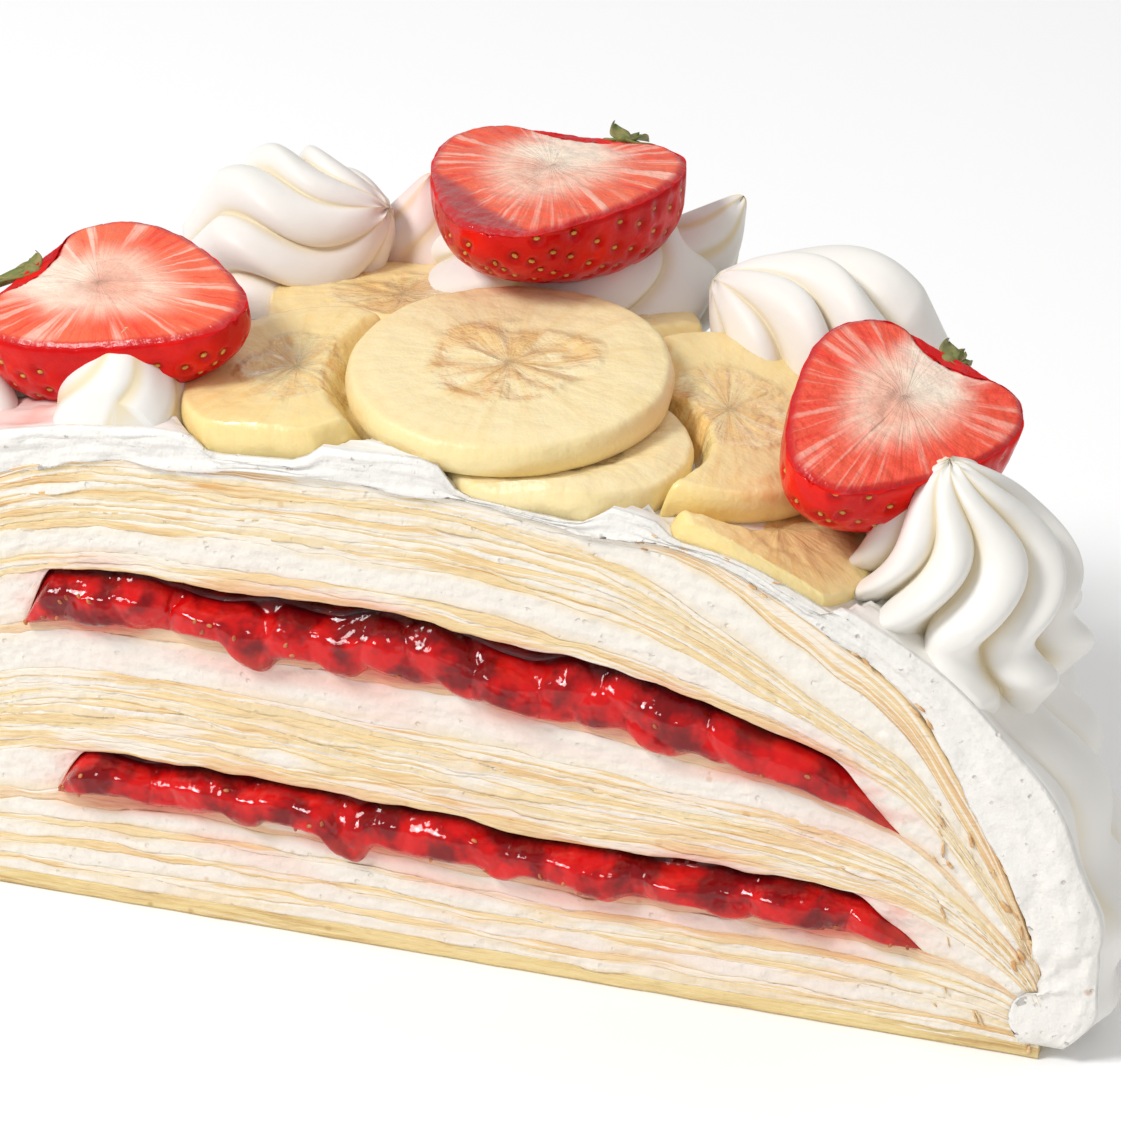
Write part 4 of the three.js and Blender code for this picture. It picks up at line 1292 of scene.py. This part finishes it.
def coatPiece():
    outer = coat["footRows"] + coat["domeRows"]
    footStart = 2 * outer + 1
    rows = footStart + coat["cutRows"]
    bm = bmesh.new()
    bmesh.ops.create_grid(bm, x_segments=coat["columns"], y_segments=rows, size=1.0)
    grooveShadeLayer = bm.verts.layers.float.new("grooveShade")
    blushLayer = bm.verts.layers.float.new("blush")
    for vert in bm.verts:
        column = round((vert.co.x + 1) / 2 * coat["columns"])
        row = round((vert.co.y + 1) / 2 * rows)
        angle = math.pi * column / coat["columns"]
        if row <= footStart:
            inside = row > outer
            # The groove depth goes to the piped cream's painted shade
            x, y, z, vert[grooveShadeLayer] = coatSpot(angle, footStart - row if inside else row, inside)
            vert.co = (x, y, z)
            near = math.hypot((x - blushSpot[0]) / 12, (y - blushSpot[1]) / 9)
            vert[blushLayer] = math.exp(-near * near) * (0.6 + 0.6 * ripple(x * 0.3, y * 0.3, 14))
        else:
            start, end = Vector(coatSpot(angle, 0, True)[:3]), Vector(coatSpot(angle, 0, False)[:3])
            vert.co = start.lerp(end, (row - footStart) / coat["cutRows"])
    # The cut: rows from the outer line to the inner one, torn and full of small holes
    band = bmesh.new()
    bmesh.ops.create_grid(band, x_segments=2 * outer, y_segments=coat["cutRows"], size=1.0)
    porousLayer = band.verts.layers.float.new("porous")
    for vert in band.verts:
        line = round((vert.co.x + 1) * outer)
        row = round((vert.co.y + 1) / 2 * coat["cutRows"])
        way = row / coat["cutRows"]
        angle, step = (0.0, line) if line <= outer else (math.pi, 2 * outer - line)
        start, end = Vector(coatSpot(angle, step, False)[:3]), Vector(coatSpot(angle, step, True)[:3])
        if 0 < way < 1 and 0 < line < 2 * outer:
            relief, lap = torn(line, way)
            spot = start.lerp(end, way + lap * ease(way, 0.3, 0.95))
            spot.y = -relief * min(1.0, 4 * way + 0.2)
            vert[porousLayer] = 1.0
        else:
            spot = start.lerp(end, way)
        vert.co = spot
    joinInto(bm, band)
    bmesh.ops.remove_doubles(bm, verts=bm.verts, dist=1e-4)
    bmesh.ops.recalc_face_normals(bm, faces=bm.faces)
    finishPiece("fine_cream_coat", bm, finishes["piped"], ["cream_coat"])


coatPiece()
print("coat made")

# Crumbs and flakes of baked crepe that the knife has dragged over the cut
crumbSettings = {"count": 44, "length": (0.5, 1.8), "thickness": 0.3, "besideWrap": (22, 67),
                 "rightEnd": (56, 68), "standOut": 0.42, "seed": 21}


def crumbPiece():
    draw = random.Random(crumbSettings["seed"])
    bm = bmesh.new()
    for number in range(crumbSettings["count"]):
        if number % 2:  # beside the outer crepe
            x = draw.uniform(*crumbSettings["besideWrap"])
            z = boundaries(x, 0.0)[-1] + draw.gauss(0.3, 0.8)
        else:  # where the layers run out at the right
            x = draw.uniform(*crumbSettings["rightEnd"])
            z = draw.uniform(0.05, 0.95) * boundaries(x, 0.0)[-1]
        size = draw.uniform(*crumbSettings["length"]) / 2
        slope = math.atan2(boundaries(x + 1, 0.0)[-1] - boundaries(x - 1, 0.0)[-1], 2)
        sit = Matrix.Rotation(-slope + draw.gauss(0, 0.25), 4, "Y")
        sit = sit @ Matrix.Rotation(draw.uniform(-0.4, 0.4), 4, "X")
        form = Matrix.Diagonal((size, crumbSettings["thickness"] / 2, size * draw.uniform(0.12, 0.35), 1))
        made = bmesh.ops.create_icosphere(bm, subdivisions=2, radius=1.0)
        for vert in made["verts"]:
            vert.co *= 1 + 0.6 * ripple(vert.co.x * 1.6 + number, vert.co.y * 1.6, vert.co.z * 1.6)
        place = Matrix.Translation((x, -crumbSettings["standOut"], max(1.0, z))) @ sit @ form
        bmesh.ops.transform(bm, matrix=place, verts=made["verts"])
    bmesh.ops.recalc_face_normals(bm, faces=bm.faces)
    finishPiece("crepe_crumbs", bm, finishes["crumb"])


crumbPiece()
print("crumbs made")


# Floor, light and camera, in metres: a lamp's place, target, size and power
studio = {
    "floorHalf": 6.0,
    "floorDrop": 0.0002,
    "world": 0.45,
    "lamps": [
        ("key", (-0.55, -0.5, 0.85), (0, 0, 0.04), (0.3, 0.3), 8.6),
        ("fill", (0.6, -0.7, 0.4), (0, 0, 0.03), (0.6, 0.6), 1.0),
        ("top", (0.1, 0.4, 0.9), (0, 0, 0.04), (0.7, 0.5), 1.2),
    ],
}


def addFloor():
    bm = bmesh.new()
    bmesh.ops.create_grid(bm, x_segments=2, y_segments=2, size=studio["floorHalf"])
    bmesh.ops.translate(bm, vec=(0, 0, -studio["floorDrop"]), verts=bm.verts)
    mesh = bpy.data.meshes.new("floor")
    bm.to_mesh(mesh)
    bm.free()
    floor = bpy.data.objects.new("floor", mesh)
    bpy.context.scene.collection.objects.link(floor)
    finish = newFinish("paleFloor", {
        "Base Color": (0.985, 0.985, 0.985, 1), "Roughness": 0.9, "Specular IOR Level": 0.0})
    mesh.materials.append(finish[0])


def addLight(name, place, target, size, power):
    data = bpy.data.lights.new(name, "AREA")
    data.shape = "RECTANGLE"
    data.size, data.size_y = size
    data.energy = power
    lamp = bpy.data.objects.new(name, data)
    bpy.context.scene.collection.objects.link(lamp)
    lamp.location = place
    lamp.rotation_euler = (Vector(target) - Vector(place)).to_track_quat("-Z", "Y").to_euler()


view = {"azimuth": 17.0, "elevation": 28.0, "eye": (124.05, -356.15, 249.77), "focalPixels": 4050.0,
        "framePixels": 1121.0, "sensor": 36.0}


def addCamera():
    data = bpy.data.cameras.new("camera")
    data.sensor_width = view["sensor"]
    data.lens = view["sensor"] * view["focalPixels"] / view["framePixels"]
    data.clip_start, data.clip_end = 0.02, 20.0
    camera = bpy.data.objects.new("camera", data)
    bpy.context.scene.collection.objects.link(camera)
    azimuth, elevation = math.radians(view["azimuth"]), math.radians(view["elevation"])
    level = math.cos(elevation)
    ahead = Vector((-math.sin(azimuth) * level, math.cos(azimuth) * level, -math.sin(elevation)))
    camera.location = cakeToFrame @ Vector(view["eye"])
    camera.rotation_euler = ahead.to_track_quat("-Z", "Y").to_euler()
    bpy.context.scene.camera = camera


def addWorld(strength):
    world = bpy.data.worlds.new("studio")
    world.use_nodes = True
    world.node_tree.nodes["Background"].inputs[0].default_value = (1, 1, 1, 1)
    world.node_tree.nodes["Background"].inputs[1].default_value = strength
    bpy.context.scene.world = world


addFloor()
addCamera()
addWorld(studio["world"])
for lamp in studio["lamps"]:
    addLight(*lamp)
bpy.context.scene.view_settings.view_transform = "Standard"

print("scene made")
